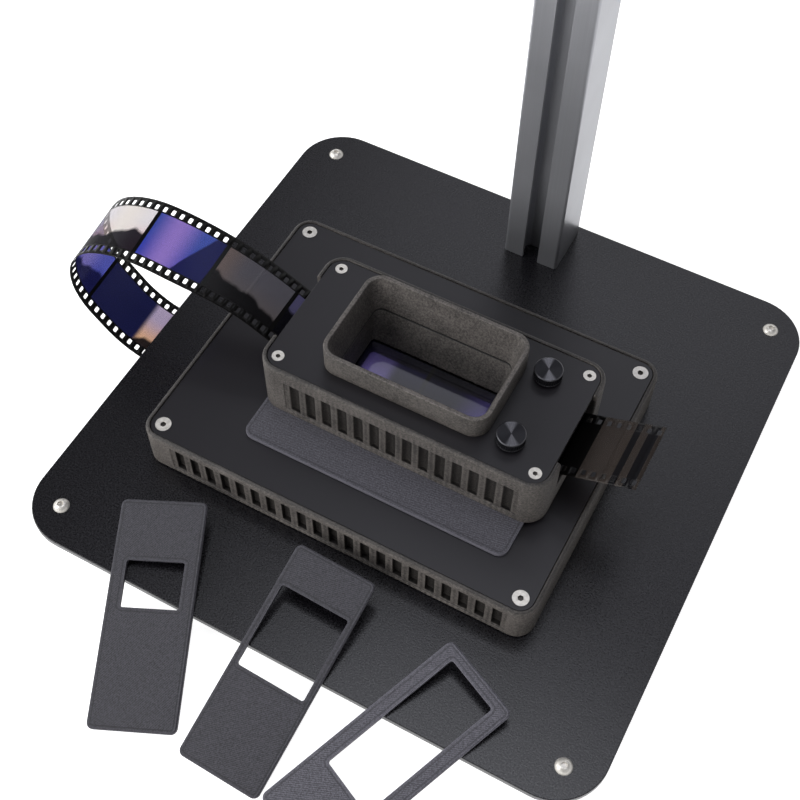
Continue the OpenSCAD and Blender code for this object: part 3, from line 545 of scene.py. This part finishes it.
def spun_knob(name, axis):
    """Black anodised aluminium, spun, with fine rings on the top. Painted highlights: two
    opposite sectors of the top are drawn lighter and smoother, standing in for the spread
    reflections of the rings, and a thin bright line is painted on the chamfer."""
    made, add, surface = material(name, Metallic=0.7, Anisotropic=0.6)
    centred = add("Mapping", {"Vector": place(add), "Location": (axis[0], axis[1], 0)},
                  vector_type="TEXTURE")
    # the lathe's rings are about 0.1 mm apart, drawn at 0.45 mm so that they show
    rings = add("TexWave", {"Vector": centred, "Scale": wave_scale(0.45 * MM),
                            "Distortion": 0.3},
                wave_type="RINGS", rings_direction="Z").outputs["Fac"]
    # painted highlight: two opposite sectors of the top are drawn lighter, and smoother
    flat = add("SeparateXYZ", centred)
    turn = add("Math", flat.outputs["Y"], flat.outputs["X"], operation="ARCTAN2")
    twice = add("Math", turn, 2.0, -2 * PAINTED_FAN_TURN, operation="MULTIPLY_ADD")
    swing = add("Math", twice, operation="COSINE")
    painted_sectors = add("MapRange", swing, 0.35, 1.0, 0.0, 1.0, interpolation_type="SMOOTHSTEP")
    facing = add("SeparateXYZ", add("TexCoord").outputs["Normal"])
    on_top = add("Math", facing.outputs["Z"], 0.9, operation="GREATER_THAN")
    # painted highlight: a thin bright line on the chamfer
    painted_chamfer_line = add("Math", facing.outputs["Z"], 0.65, 0.25, operation="COMPARE")
    painted_fans = add("Math", on_top, painted_sectors, operation="MULTIPLY")
    rings_and_painted_glints = marked(add, painted_fans, (painted_chamfer_line, 0.4), (rings, 0.1))
    tint(add, surface, rings_and_painted_glints, linear("#1c1c20"), linear("#77777c"), 0.0, 1.0)
    join(add("MapRange", painted_fans, 0.0, 1.0, 0.4, 0.26), surface, "Roughness")
    join(add("Tangent", direction_type="RADIAL", axis="Z"), surface, "Tangent")
    relief(add, surface, (rings, 0.004))
    return made


# The film strip, in mm and degrees where nothing else is said


# how steeply it enters and leaves the carrier, half its flat in the window, where its bends end
IN_TURN, OUT_TURN, FLAT_HALF, BEND_END = 22.9, 27.5, 36.0, 70.0
# its straight runs before the carrier, after it, and within the curl
IN_RUN, OUT_RUN, HANG_RUN = 41.3, 11.477, 12.0907
# the radii of its bends into the carrier and out of it
IN_RADIUS, OUT_RADIUS = ((BEND_END - FLAT_HALF) / math.sin(math.radians(turn))
                         for turn in (IN_TURN, OUT_TURN))
# perforations: pitch, the first one's place, length along the strip, width, distance from the
# strip's edge, corner radius, and the film left beside them before the plain bands start
PERF_PITCH, PERF_START, PERF_LONG, PERF_WIDE, PERF_IN = 4.75, 2.0, 1.98, 2.8, 2.0
PERF_CORNER, PERF_BESIDE = 0.5, 0.5
FILM_WIDE, FILM_HEIGHT, FILM_BANDS = 35.0, 52.5, 6
# (start, run, turn about X, drift in Y, rise) of the strip's twists past the carrier
TWISTS = (198.0, 50.0, 11.0, -1.9, 0.0), (265.0, 95.0, -6.5, -3.2, 0.9)


def arc(radius, turn):
    """The (length, turn) of an arc of a radius over a turn."""
    return radius * math.radians(abs(turn)), turn


# the (length, turn) of each stretch, from the strip's right end to the end of its curl
STRETCHES = (
    (IN_RUN, 0), arc(IN_RADIUS, -IN_TURN), (2 * FLAT_HALF, 0), arc(OUT_RADIUS, -OUT_TURN),
    (OUT_RUN, 0), arc(134.0, OUT_TURN), arc(59.0, 25.0), arc(34.0, 106.0), (HANG_RUN, 0),
    arc(38.0, 42.0),
)


def along(state, length, turn):
    """The state (x, z, heading) one stretch further on."""
    x, z, heading = state
    a, b = math.radians(heading), math.radians(heading + turn)
    if turn == 0:
        return x + length * math.cos(a), z + length * math.sin(a), heading
    radius = length / math.radians(turn)
    return (x + radius * (math.sin(b) - math.sin(a)),
            z - radius * (math.cos(b) - math.cos(a)), heading + turn)


def strip_folds():
    """The distances along the strip where its flats meet, and the (x, z) of each."""
    in_turn = math.radians(IN_TURN)
    start = (BEND_END + IN_RUN * math.cos(in_turn),
             FILM_HEIGHT + IN_RADIUS * (1 - math.cos(in_turn)) + IN_RUN * math.sin(in_turn),
             180 + IN_TURN)
    total = sum(length for length, _ in STRETCHES)
    holes = int((total - 2 * PERF_START) / PERF_PITCH) + 1
    ends = [0.0, *(PERF_START + (i + 0.5) * PERF_PITCH for i in range(holes - 1)), total]
    folds = []
    for distance in ends:
        state, left = start, distance
        for length, turn in STRETCHES:
            share = min(1.0, left / length)
            state = along(state, length * share, turn * share)
            left -= length * share
            if left <= 1e-9:
                break
        folds.append(state[:2])
    return ends, folds


def strip_twist(distance):
    """How far the strip has turned about X, drifted in Y and risen at a distance along it: past
    the carrier its own curl twists it."""
    totals = (0.0, 0.0, 0.0)
    for start, run, *changes in TWISTS:
        share = min(1.0, max(0.0, (distance - start) / run))
        eased = share * share * (3 - 2 * share)
        totals = [total + eased * change for total, change in zip(totals, changes)]
    return totals


def perforation_ring(middle, side):
    """The (distance, across) points of a perforation, three to each rounded corner."""
    ring = []
    for along_sign, across_sign in ((-1, -1), (1, -1), (1, 1), (-1, 1)):
        cx = middle + along_sign * (PERF_LONG / 2 - PERF_CORNER)
        cy = side + across_sign * (PERF_WIDE / 2 - PERF_CORNER)
        start = math.atan2(across_sign, along_sign) - math.pi / 4
        ring.append([(cx + PERF_CORNER * math.cos(start + k * math.pi / 4),
                      cy + PERF_CORNER * math.sin(start + k * math.pi / 4)) for k in range(3)])
    return ring


def film_mesh(middle_y):
    """The strip as flats with two perforations each, and the distance along and across it in
    metres as its UV map."""
    ends, folds = strip_folds()
    mesh = bmesh.new()
    uv = mesh.loops.layers.uv.new("strip")
    known, spots = {}, {}

    def point(distance, across):
        key = (round(distance, 4), round(across, 4))
        if key not in known:
            i = next(i for i in range(len(ends) - 1) if distance <= ends[i + 1] + 1e-6)
            share = (distance - ends[i]) / (ends[i + 1] - ends[i])
            x = folds[i][0] + share * (folds[i + 1][0] - folds[i][0])
            z = folds[i][1] + share * (folds[i + 1][1] - folds[i][1])
            turn, drift, rise = strip_twist(distance)
            y = middle_y + drift + (across - FILM_WIDE / 2) * math.cos(math.radians(turn))
            z += rise + (across - FILM_WIDE / 2) * math.sin(math.radians(turn))
            made = mesh.verts.new((x * MM, y * MM, z * MM))
            known[key], spots[made] = made, (distance * MM, across * MM)
        return known[key]

    def face(*places):
        made = mesh.faces.new([point(*p) for p in places])
        made.smooth = True
        for loop in made.loops:
            loop[uv].uv = spots[loop.vert]

    rim = PERF_IN + PERF_WIDE + PERF_BESIDE
    row = PERF_IN + PERF_WIDE / 2
    step = (FILM_WIDE - 2 * rim) / FILM_BANDS
    for i, (a, b) in enumerate(zip(ends, ends[1:])):
        hole = PERF_START + i * PERF_PITCH
        for low, high, side in ((0.0, rim, row), (FILM_WIDE - rim, FILM_WIDE, FILM_WIDE - row)):
            corners = [(a, low), (b, low), (b, high), (a, high)]
            ring = perforation_ring(hole, side)
            for k in range(4):
                after = (k + 1) % 4
                face(corners[k], corners[after], ring[after][0], ring[k][2])
                face(corners[k], ring[k][1], ring[k][0])
                face(corners[k], ring[k][2], ring[k][1])
        for k in range(FILM_BANDS):
            low, high = rim + k * step, rim + (k + 1) * step
            face((a, low), (b, low), (b, high), (a, high))
    made = bpy.data.meshes.new("film")
    mesh.normal_update()
    mesh.to_mesh(made)
    mesh.free()
    return made


class Picture(NamedTuple):
    """A picture on the strip: the colours of its sky at the foot and the head, of the glow in the
    sky and of the land, and the shares of the picture that shape them."""

    foot: str
    head: str
    glow: str
    land: str
    level: float = -1.0
    slope: float = 0.0
    place: float = 0.5
    width: float = 0.4
    core: float = 0.0
    fade: float = 0.0


# from the right end of the strip to the left, and on round the curl
PICTURES = (
    Picture("#08080c", "#08080c", "#0c0b14", "#060608"),
    Picture("#050508", "#0b0a1c", "#4a3d80", "#050508", place=0.1, width=0.5, fade=0.95),
    Picture("#050508", "#0a0924", "#64588f", "#050508", place=0.62, width=0.25, core=0.4,
            fade=0.95),
    Picture("#5d5a80", "#8f8ab4", "#a39cc0", "#100f18", level=0.35, slope=0.5),
    Picture("#a39a9a", "#9a97a0", "#ad9c98", "#1a181c", level=0.3, slope=0.2, place=0.95,
            width=0.3),
    Picture("#2a3790", "#33438c", "#8069ac", "#0e1140", level=-0.05, slope=-2.9, place=0.64,
            width=0.36),
    Picture("#c8a4a4", "#c9c5c8", "#cfc9c4", "#0e0c18", level=0.33, slope=-0.1, place=0.4),
    Picture("#2d3384", "#4a4f9c", "#6a62a0", "#12133a", level=0.2, slope=0.6),
    Picture("#cfa584", "#a89ab4", "#16183c", "#0d0c10", level=-0.42, slope=1.2, place=0.3,
            width=0.6, core=0.85),
)
# a ramp's colour carries a level from minus to plus the first, and a slope so by the second
MOST_LEVEL, MOST_SLOPE = 1.0, 10.0
# how far a hill's ridge rises and falls, as a share of the picture's height
RIDGE = 0.28
# where the first picture starts, and half a picture's height
FIRST_FRAME, PICTURE_HALF = 37.0 * MM, 12.0 * MM
# where the clear end gives way to the dark leader, and the (middle, half) of its two dark bars
LEADER_FROM = 28.5 * MM
END_BARS = (11.5 * MM, 1.5 * MM), (4.2 * MM, 2.3 * MM)
# the middle and half length of the film that the window holds flat
WINDOW_FILM = 112.0 * MM, 42.0 * MM


def film_pictures(add, number, across, up):
    """The colours of the pictures, from a picture's number and the shares across and up it: each
    is a plain gradient of sky and glow over a hill."""
    middle = add("Math", number, 0.5, operation="ADD")
    pick = add("Math", middle, len(PICTURES), operation="DIVIDE")

    def chosen(colour_of):
        ramp = add("ValToRGB", pick)
        stops(ramp, *((i / len(PICTURES), colour_of(p)) for i, p in enumerate(PICTURES)),
              interpolation="CONSTANT")
        return ramp

    foot, head, glow, land = (chosen(lambda p: linear(getattr(p, name)))
                              for name in ("foot", "head", "glow", "land"))
    hill = add("SeparateColor", chosen(
        lambda p: ((p.level / MOST_LEVEL + 1) / 2, (p.slope / MOST_SLOPE + 1) / 2, p.place, 1)))
    halo = add("SeparateColor", chosen(lambda p: (p.width, p.width * p.core, p.fade, 1)))
    level = add("MapRange", hill.outputs["Red"], 0.0, 1.0, -MOST_LEVEL, MOST_LEVEL)
    slope = add("MapRange", hill.outputs["Green"], 0.0, 1.0, -MOST_SLOPE, MOST_SLOPE)
    high = add("MapRange", up, 0.1, 0.75, 0.0, 1.0, interpolation_type="SMOOTHSTEP")
    sky = add("Mix", {"Factor": high, "A": foot, "B": head}, data_type="RGBA")
    off = add("Math", across, hill.outputs["Blue"], operation="SUBTRACT")
    near = add("MapRange", add("Math", off, operation="ABSOLUTE"),
               halo.outputs["Green"], halo.outputs["Red"], 1.0, 0.0,
               interpolation_type="SMOOTHSTEP")
    faded = add("Math", halo.outputs["Blue"], up, operation="MULTIPLY")
    left = add("Math", 1.0, faded, operation="SUBTRACT")
    lit = add("Math", near, left, operation="MULTIPLY")
    sky = add("Mix", {"Factor": lit, "A": sky, "B": glow}, data_type="RGBA")
    seed = add("CombineXYZ", across, number)
    ridge = add("TexNoise", {"Vector": seed, "Scale": 2.6, "Detail": 3.0})
    from_middle = add("Math", across, 0.5, operation="SUBTRACT")
    tilted = add("Math", from_middle, slope, level, operation="MULTIPLY_ADD")
    rough = add("MapRange", ridge, 0.0, 1.0, -RIDGE, RIDGE)
    horizon = add("Math", tilted, rough, operation="ADD")
    above = add("Math", up, horizon, operation="SUBTRACT")
    # a little of the sky shows through the land
    share = add("MapRange", above, -0.03, 0.05, 0.02, 1.0)
    return add("Mix", {"Factor": share, "A": land, "B": sky}, data_type="RGBA")


def reversal_film(colours, sizes):
    """Developed reversal film on a polyester base: a near black strip that light passes through
    only where a picture is. It is glossy where the window holds it flat. Light passes two faces,
    so each takes the square root of the tint."""
    made, add, surface = material("reversal_film", IOR=1.5)
    strip = add("UVMap", uv_map="strip")
    split = add("SeparateXYZ", strip)
    distance, out = split.outputs["X"], split.outputs["Y"]
    middle = FILM_WIDE * MM / 2
    past_first = add("Math", distance, FIRST_FRAME, operation="SUBTRACT")
    turns = add("Math", past_first, sizes.frame_pitch, operation="DIVIDE")
    # the strip ends in the bar after the last picture
    kept = add("Math", turns, len(PICTURES) - 0.03, operation="MINIMUM")
    number = add("Math", kept, operation="FLOOR")
    across = add("Math", kept, operation="FRACT")
    up = add("MapRange", out, middle - PICTURE_HALF, middle + PICTURE_HALF, 0.0, 1.0)
    picture = film_pictures(add, number, across, up)
    gap_share = sizes.frame_gap / sizes.frame_pitch / 2
    in_x = add("Math", across, 0.5, 0.5 - gap_share, operation="COMPARE")
    in_y = add("Math", out, middle, PICTURE_HALF, operation="COMPARE")
    begun = add("Math", distance, FIRST_FRAME, operation="GREATER_THAN")
    shown = add("Math", in_x, in_y, operation="MULTIPLY")
    shown = add("Math", shown, begun, operation="MULTIPLY")
    printed = add("Mix", {"Factor": shown, "A": (*colours.rebate, 1), "B": picture},
                  data_type="RGBA")
    streak = add("TexNoise", {"Vector": strip, "Scale": 1 / (9 * MM)})
    clear = add("Mix", {"Factor": streak, "A": linear("#4a4440"), "B": linear("#5c524d")},
                data_type="RGBA")
    bars = add("Math", *(add("Math", distance, *bar, operation="COMPARE")
                         for bar in END_BARS), operation="MAXIMUM")
    end = add("Mix", {"Factor": bars, "A": clear, "B": linear("#0d0c0f")}, data_type="RGBA")
    ending = add("Math", distance, LEADER_FROM, operation="LESS_THAN")
    colour = add("Mix", {"Factor": ending, "A": printed, "B": end}, data_type="RGBA")
    dyes = add("Mix", {"Factor": ending, "A": printed, "B": linear("#8f857c")}, data_type="RGBA")
    see = add("BsdfTransparent", add("Gamma", dyes, 0.5))
    dense = add("MapRange", shown, 0.0, 1.0, 0.97, 0.24)
    dense_end = add("MapRange", bars, 0.0, 1.0, 0.3, 0.97)
    opacity = add("Mix", {"Factor": ending, "A": dense, "B": dense_end})
    flat = add("Math", distance, *WINDOW_FILM, operation="COMPARE")
    rough = add("MapRange", flat, 0.0, 1.0, 0.3, 0.06)
    gloss = add("MapRange", flat, 0.0, 1.0, 0.12, 0.75)
    # the shine is divided by the density, because the mix with what is seen through dims it
    shine = add("Math", gloss, opacity, operation="DIVIDE")
    join(colour, surface, "Base Color")
    join(rough, surface, "Roughness")
    join(shine, surface, "Specular IOR Level")
    result = surface.outputs["BSDF"].links[0].to_node
    join(add("MixShader", opacity, see, surface), result, "Surface")
    return made


# The printed sheets and boxes


# place along the edge, distance out, turn in degrees, window width and length, all as modelled
MASKS = {
    "mask_left": (-62.0, 8.0, 23.0, 27.0, 21.5),
    "mask_middle": (2.1, 2.8, -2.0, 34.0, 39.0),
    "mask_right": (61.0, 13.5, -24.0, 26.5, 67.0),
}
# how much lighter or darker each sheet is drawn: painted light and shade, standing in for how
# light falls on each
SHEET_PAINTED_LIGHT = {"mask_left": 0.8, "mask_middle": 0.8, "mask_right": 1.7, "insert_mask": 1.35}
MASK_WIDE, MASK_LONG, MASK_CORNER, MASK_WINDOW_AT, INSERT_CORNER = 40.4, 103.0, 3.0, 38.9, 5.0
# how far a mask lies over the board's edge, and its tip's fall is short of the board's height
MASK_OVER, MASK_SHORT = 0.1, 0.2

# corner radii of the two fluted boxes in mm, and how far under their tops the flutes start
BOX_CORNER, CARRIER_CORNER = 9.0, 10.0
FLUTES_UNDER = 4.0
# the first slot's place along X, the slots' pitch and their number, on each box's front
BOX_SLOTS = -87.4 * MM, 8.16 * MM, 21
CARRIER_SLOTS = -47.795 * MM, 8.23 * MM, 14


def mask_spot(x, out, turn, board_edge, board_top):
    """The matrix that lays a flat mask from the board's front edge down to the floor."""
    bend = math.radians(turn)
    tip = out + MASK_LONG / 2 * math.cos(bend) + MASK_WIDE / 2 * abs(math.sin(bend))
    tilt = math.asin((board_top - MASK_SHORT) / tip)
    return (Matrix.Translation((0, board_edge * MM, (board_top + MASK_OVER) * MM))
            @ Matrix.Rotation(tilt, 4, "X") @ Matrix.Translation((x * MM, -out * MM, 0))
            @ Matrix.Rotation(bend, 4, "Z"))


def flutes(node, corner):
    """Where a box's flutes are: the middle, halves and corner of its outline, and their top."""
    low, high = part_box(node)
    return (low + high).xy / 2, (high - low).xy / 2, corner * MM, high.z - FLUTES_UNDER * MM


def chosen_settings(context):
    """The colours and sizes that a user may have changed."""
    return context.scene.copystand_colours, context.scene.copystand_sizes


class BuildOperator:
    """Shared by every operator here: an error is raised, never cancelled."""

    bl_options = {"REGISTER", "UNDO"}


class COPYSTAND_OT_base(BuildOperator, bpy.types.Operator):
    """Finishes the board, its feet and screws, and the column"""

    bl_idname = "copystand.base"
    bl_label = "Board and Column"

    def execute(self, context):
        colours = context.scene.copystand_colours
        steel = turned_stainless("turned_stainless_base")
        dress("base_board", phenolic_laminate(colours), 0.5)
        dress("board_feet", moulded_rubber(), 0.6)
        dress("foot_screws", steel, 0.2)
        dress("column", anodised_extrusion(colours), 0.25)
        dress("column_cap", moulded_black(), 0.5)
        dress("column_bolt", steel, 0.2)
        dress("column_washer", steel, 0.3)
        return {"FINISHED"}


class COPYSTAND_OT_carriage(BuildOperator, bpy.types.Operator):
    """Finishes the camera carriage, its clamp and the camera arm"""

    bl_idname = "copystand.carriage"
    bl_label = "Camera Carriage"

    def execute(self, context):
        coat = powder_coat()
        steel = turned_stainless("turned_stainless_arm")
        dress("camera_carriage", coat, 0.6)
        dress("camera_arm", coat, 0.6)
        dress("carriage_pad", turned_brass(), 0.1)
        dress("carriage_knob", moulded_black(), 0.6)
        dress("arm_screws", steel, 0.2)
        dress("camera_screw", steel, 0.3)
        return {"FINISHED"}


class COPYSTAND_OT_light_box(BuildOperator, bpy.types.Operator):
    """Finishes the light box with its plate, lamp, diffuser, socket and button"""

    bl_idname = "copystand.light_box"
    bl_label = "Light Box"

    def execute(self, context):
        scene = context.scene
        colours = scene.copystand_colours
        black = moulded_black()
        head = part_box("light_plate_screws")[1].z
        # painted light and shade: the box's walls are drawn lighter and its tops darker, as light
        # falls on them
        walls = printed_walls("printed_petg_box", colours, scene.copystand_sizes, 1.45,
                              level_lift=0.35, recess=flutes("light_box_body", BOX_CORNER),
                              slots=BOX_SLOTS)
        dress("light_box_body", walls, 0.3, rim=1.5, corner=BOX_CORNER)
        dress("light_top_plate", matte_plate(colours), 0.3)
        dress("light_plate_screws", turned_stainless("turned_stainless_box", head), 0.12)
        dress("light_pads", moulded_rubber(), 0.2)
        dress("light_diffuser", opal_acrylic(scene.copystand_stage))
        dress("led_board", solder_mask())
        dress("led_chips", phosphor_gel(), 0.2)
        dress("power_socket", black, 0.3)
        dress("power_switch", black, 0.3)
        dress("power_button", moulded_red(), 0.6)
        return {"FINISHED"}


class COPYSTAND_OT_carrier(BuildOperator, bpy.types.Operator):
    """Finishes the film carrier: body, plate, screws, bed and well"""

    bl_idname = "copystand.carrier"
    bl_label = "Film Carrier"

    def execute(self, context):
        colours, sizes = chosen_settings(context)
        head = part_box("carrier_plate_screws")[1].z
        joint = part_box("film_well")[1].z
        # painted light and shade: the carrier and its well are drawn to tones of their own, and
        # the carrier's tops darker, as light falls on them
        walls = printed_walls("printed_petg_carrier", colours, sizes, 1.06, level_lift=0.55,
                              recess=flutes("carrier_body", CARRIER_CORNER), slots=CARRIER_SLOTS)
        well = printed_walls("printed_petg_well", colours, sizes, 0.98, 0.16, seam=joint)
        dress("carrier_body", walls, 0.3, rim=1.5, corner=CARRIER_CORNER)
        dress("carrier_top_plate", matte_plate(colours), 0.25)
        dress("carrier_plate_screws", turned_stainless("turned_stainless_carrier", head), 0.1)
        dress("film_bed", moulded_black(), 0.2)
        dress("film_bed_screws", turned_stainless("turned_stainless_bed"), 0.1)
        dress("film_well", well, 0.5)
        return {"FINISHED"}


class COPYSTAND_OT_hood(BuildOperator, bpy.types.Operator):
    """Finishes the hood round the window"""

    bl_idname = "copystand.hood"
    bl_label = "Hood"

    def execute(self, context):
        colours, sizes = chosen_settings(context)
        # painted light: the hood is drawn to a tone of its own and its top lighter, as light falls
        # on it
        dress("hood", printed_walls("printed_petg_hood", colours, sizes, 0.98, 0.16, 1.2), 0.5)
        return {"FINISHED"}


class COPYSTAND_OT_knobs(BuildOperator, bpy.types.Operator):
    """Finishes the two knobs"""

    bl_idname = "copystand.knobs"
    bl_label = "Knobs"

    def execute(self, context):
        for node in ("knob_front", "knob_back"):
            low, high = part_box(node)
            dress(node, spun_knob("spun_" + node, (low + high) / 2), 0.12)
        return {"FINISHED"}


class COPYSTAND_OT_masks(BuildOperator, bpy.types.Operator):
    """Finishes the insert and the three loose masks, with their printed lines"""

    bl_idname = "copystand.masks"
    bl_label = "Masks"

    def execute(self, context):
        colours, sizes = chosen_settings(context)
        low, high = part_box("base_board")
        edge, top = low.y / MM, high.z / MM
        halves = Vector((MASK_WIDE / 2, MASK_LONG / 2)) * MM
        middle = Vector((0, MASK_LONG / 2 - MASK_WINDOW_AT)) * MM
        for node, (x, out, turn, wide, long) in MASKS.items():
            window = middle, Vector((wide / 2, long / 2)) * MM
            finish = printed_sheet(
                "printed_pla_" + node, colours, sizes, mask_spot(x, out, turn, edge, top),
                halves, MASK_CORNER * MM, window, SHEET_PAINTED_LIGHT[node])
            dress(node, finish, 0.15)
        low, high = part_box("insert_mask")
        spot = Matrix.Translation((low + high) / 2)
        finish = printed_sheet(
            "printed_pla_insert", colours, sizes, spot, (high - low).xy / 2, INSERT_CORNER * MM,
            None, SHEET_PAINTED_LIGHT["insert_mask"])
        dress("insert_mask", finish, 0.3)
        return {"FINISHED"}


class COPYSTAND_OT_film(BuildOperator, bpy.types.Operator):
    """Builds the perforated film strip that is threaded through the carrier"""

    bl_idname = "copystand.film"
    bl_label = "Film Strip"

    def execute(self, context):
        colours, sizes = chosen_settings(context)
        low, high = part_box("film_strip")
        film = put("film", film_mesh((low.y + high.y) / 2 / MM))
        film.data.materials.append(reversal_film(colours, sizes))
        configure(film.modifiers.new("thickness", "SOLIDIFY"), thickness=sizes.film_thickness,
                  offset=0)
        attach(film, "film")
        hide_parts("film_strip")
        return {"FINISHED"}


# the camera as solved from the photograph: lens in mm, place in metres, and its right, down and
# forward directions
LENS, SENSOR, SHIFT = 57.574, 36.0, 0.001875
CAMERA_AT = (0.14338, -0.30789, 0.54061)
CAMERA_AXES = ((0.87956, 0.47573, 0.00697), (0.40018, -0.7318, -0.55165),
               (-0.25734, 0.488, -0.83405))

# name, power setting, place, what it points at, width and depth in metres, and colour
LAMPS = (
    ("overhead", "key", (0.0, 0.06, 1.7), (0.0, 0.06, 0.0), 0.92, 0.9, "#f4f6ff"),
    ("behind", "back", (-0.3, 1.5, 1.7), (-0.3, 1.5, 0.0), 1.3, 1.1, "#f4f5ff"),
    ("front_left", "left", (-1.25, -1.05, 1.15), (0.0, 0.0, 0.05), 1.0, 1.0, "#ffffff"),
    ("front", "front", (-0.35, -1.85, 0.72), (0.0, 0.0, 0.05), 1.1, 0.8, "#ffffff"),
    ("left", "side", (-1.88, 0.0, 0.72), (0.0, 0.0, 0.05), 1.0, 0.8, "#ffffff"),
)
WHITE = (1, 1, 1, 1)


def seen_rays(add):
    """1 for a ray from the camera, or off or through something glossy, and 0 for the rest."""
    path = add("LightPath")
    seen = path.outputs["Is Camera Ray"]
    for kind in ("Is Glossy Ray", "Is Transmission Ray"):
        seen = add("Math", seen, path.outputs[kind], operation="MAXIMUM")
    return seen


class COPYSTAND_OT_stage(BuildOperator, bpy.types.Operator):
    """Builds the floor, the soft lamps, the surroundings and the camera"""

    bl_idname = "copystand.stage"
    bl_label = "Studio"

    def execute(self, context):
        scene = context.scene
        stage = scene.copystand_stage
        self.build_floor(stage.floor)
        self.build_surroundings(scene, stage.ambient)
        for name, power, at, aim, wide, deep, shade in LAMPS:
            lamp = configure(bpy.data.lights.new(name, "AREA"), shape="RECTANGLE", size=wide,
                             size_y=deep, energy=getattr(stage, power), color=linear(shade)[:3])
            turn = (Vector(aim) - Vector(at)).to_track_quat("-Z", "Y").to_euler()
            # seen from behind, the board would mirror the low lamp at the front
            configure(put(name, lamp), location=at, rotation_euler=turn, visible_camera=False,
                      visible_glossy=name != "front")
        right, down, forward = (Vector(a) for a in CAMERA_AXES)
        turn = Matrix((right, -down, -forward)).transposed()
        camera = configure(bpy.data.cameras.new("camera"), lens=LENS, sensor_width=SENSOR,
                           shift_x=SHIFT, clip_start=0.01, clip_end=50.0)
        scene.camera = put("camera", camera)
        scene.camera.matrix_world = Matrix.Translation(CAMERA_AT) @ turn.to_4x4()
        scene.view_settings.view_transform = "Standard"
        return {"FINISHED"}

    def build_floor(self, width):
        """A white floor that the camera and every reflection see as plain white, but for the
        stand's own soft shadow."""
        sheet = bmesh.new()
        bmesh.ops.create_grid(sheet, x_segments=8, y_segments=8, size=width / 2)
        mesh = bpy.data.meshes.new("floor")
        sheet.to_mesh(mesh)
        sheet.free()
        made = bpy.data.materials.new("white_paper_sweep")
        add = adder(made)
        paper = add("BsdfDiffuse", linear("#e6e6e6"))
        lit = add("AddShader", paper, add("Emission", WHITE, 0.92))
        add("OutputMaterial", add("MixShader", seen_rays(add), paper, lit))
        mesh.materials.append(made)
        put("floor", mesh)

    def build_surroundings(self, scene, ambient):
        """A white backdrop all round for the camera and for reflections, darker overhead where
        a studio has no white, and a plain soft light from all sides."""
        scene.world = bpy.data.worlds.new("studio")
        add = adder(scene.world)
        way = add("SeparateXYZ", add("TexCoord").outputs["Generated"])
        height = add("ValToRGB", way.outputs["Z"])
        stops(height, (0.3, WHITE), (0.6, (0.1, 0.1, 0.11, 1)))
        on_camera = add("LightPath").outputs["Is Camera Ray"]
        backdrop = add("Mix", {"Factor": on_camera, "A": height, "B": WHITE},
                       data_type="RGBA")
        soft = add("Background", WHITE, ambient)
        white = add("Background", backdrop, 1.0)
        add("OutputWorld", add("MixShader", seen_rays(add), soft, white))


class COPYSTAND_PT_panel(bpy.types.Panel):
    """Lists the settings and the pieces"""

    bl_idname = "COPYSTAND_PT_panel"
    bl_label = "Copy Stand"
    bl_space_type = "VIEW_3D"
    bl_region_type = "UI"
    bl_category = "Copy Stand"

    def draw(self, context):
        for group in GROUPS:
            settings = getattr(context.scene, group)
            column = self.layout.column(align=True)
            for name in settings.__annotations__:
                column.prop(settings, name)
        for operator in OPERATORS:
            self.layout.operator(operator.bl_idname)


OPERATORS = (
    COPYSTAND_OT_stage, COPYSTAND_OT_base, COPYSTAND_OT_carriage, COPYSTAND_OT_light_box,
    COPYSTAND_OT_carrier, COPYSTAND_OT_hood, COPYSTAND_OT_knobs, COPYSTAND_OT_masks,
    COPYSTAND_OT_film,
)
GROUPS = {
    "copystand_colours": CopyStandColours,
    "copystand_sizes": CopyStandSizes,
    "copystand_stage": CopyStandStage,
}
CLASSES = (*GROUPS.values(), *OPERATORS, COPYSTAND_PT_panel)


def register():
    for kind in CLASSES:
        bpy.utils.register_class(kind)
    for name, group in GROUPS.items():
        setattr(bpy.types.Scene, name, PointerProperty(type=group))


def unregister():
    for name in GROUPS:
        delattr(bpy.types.Scene, name)
    for kind in reversed(CLASSES):
        bpy.utils.unregister_class(kind)


def main():
    """Builds everything."""
    register()
    for operator in OPERATORS:
        group, name = operator.bl_idname.split(".")
        getattr(getattr(bpy.ops, group), name)()


if __name__ == "__main__":
    main()
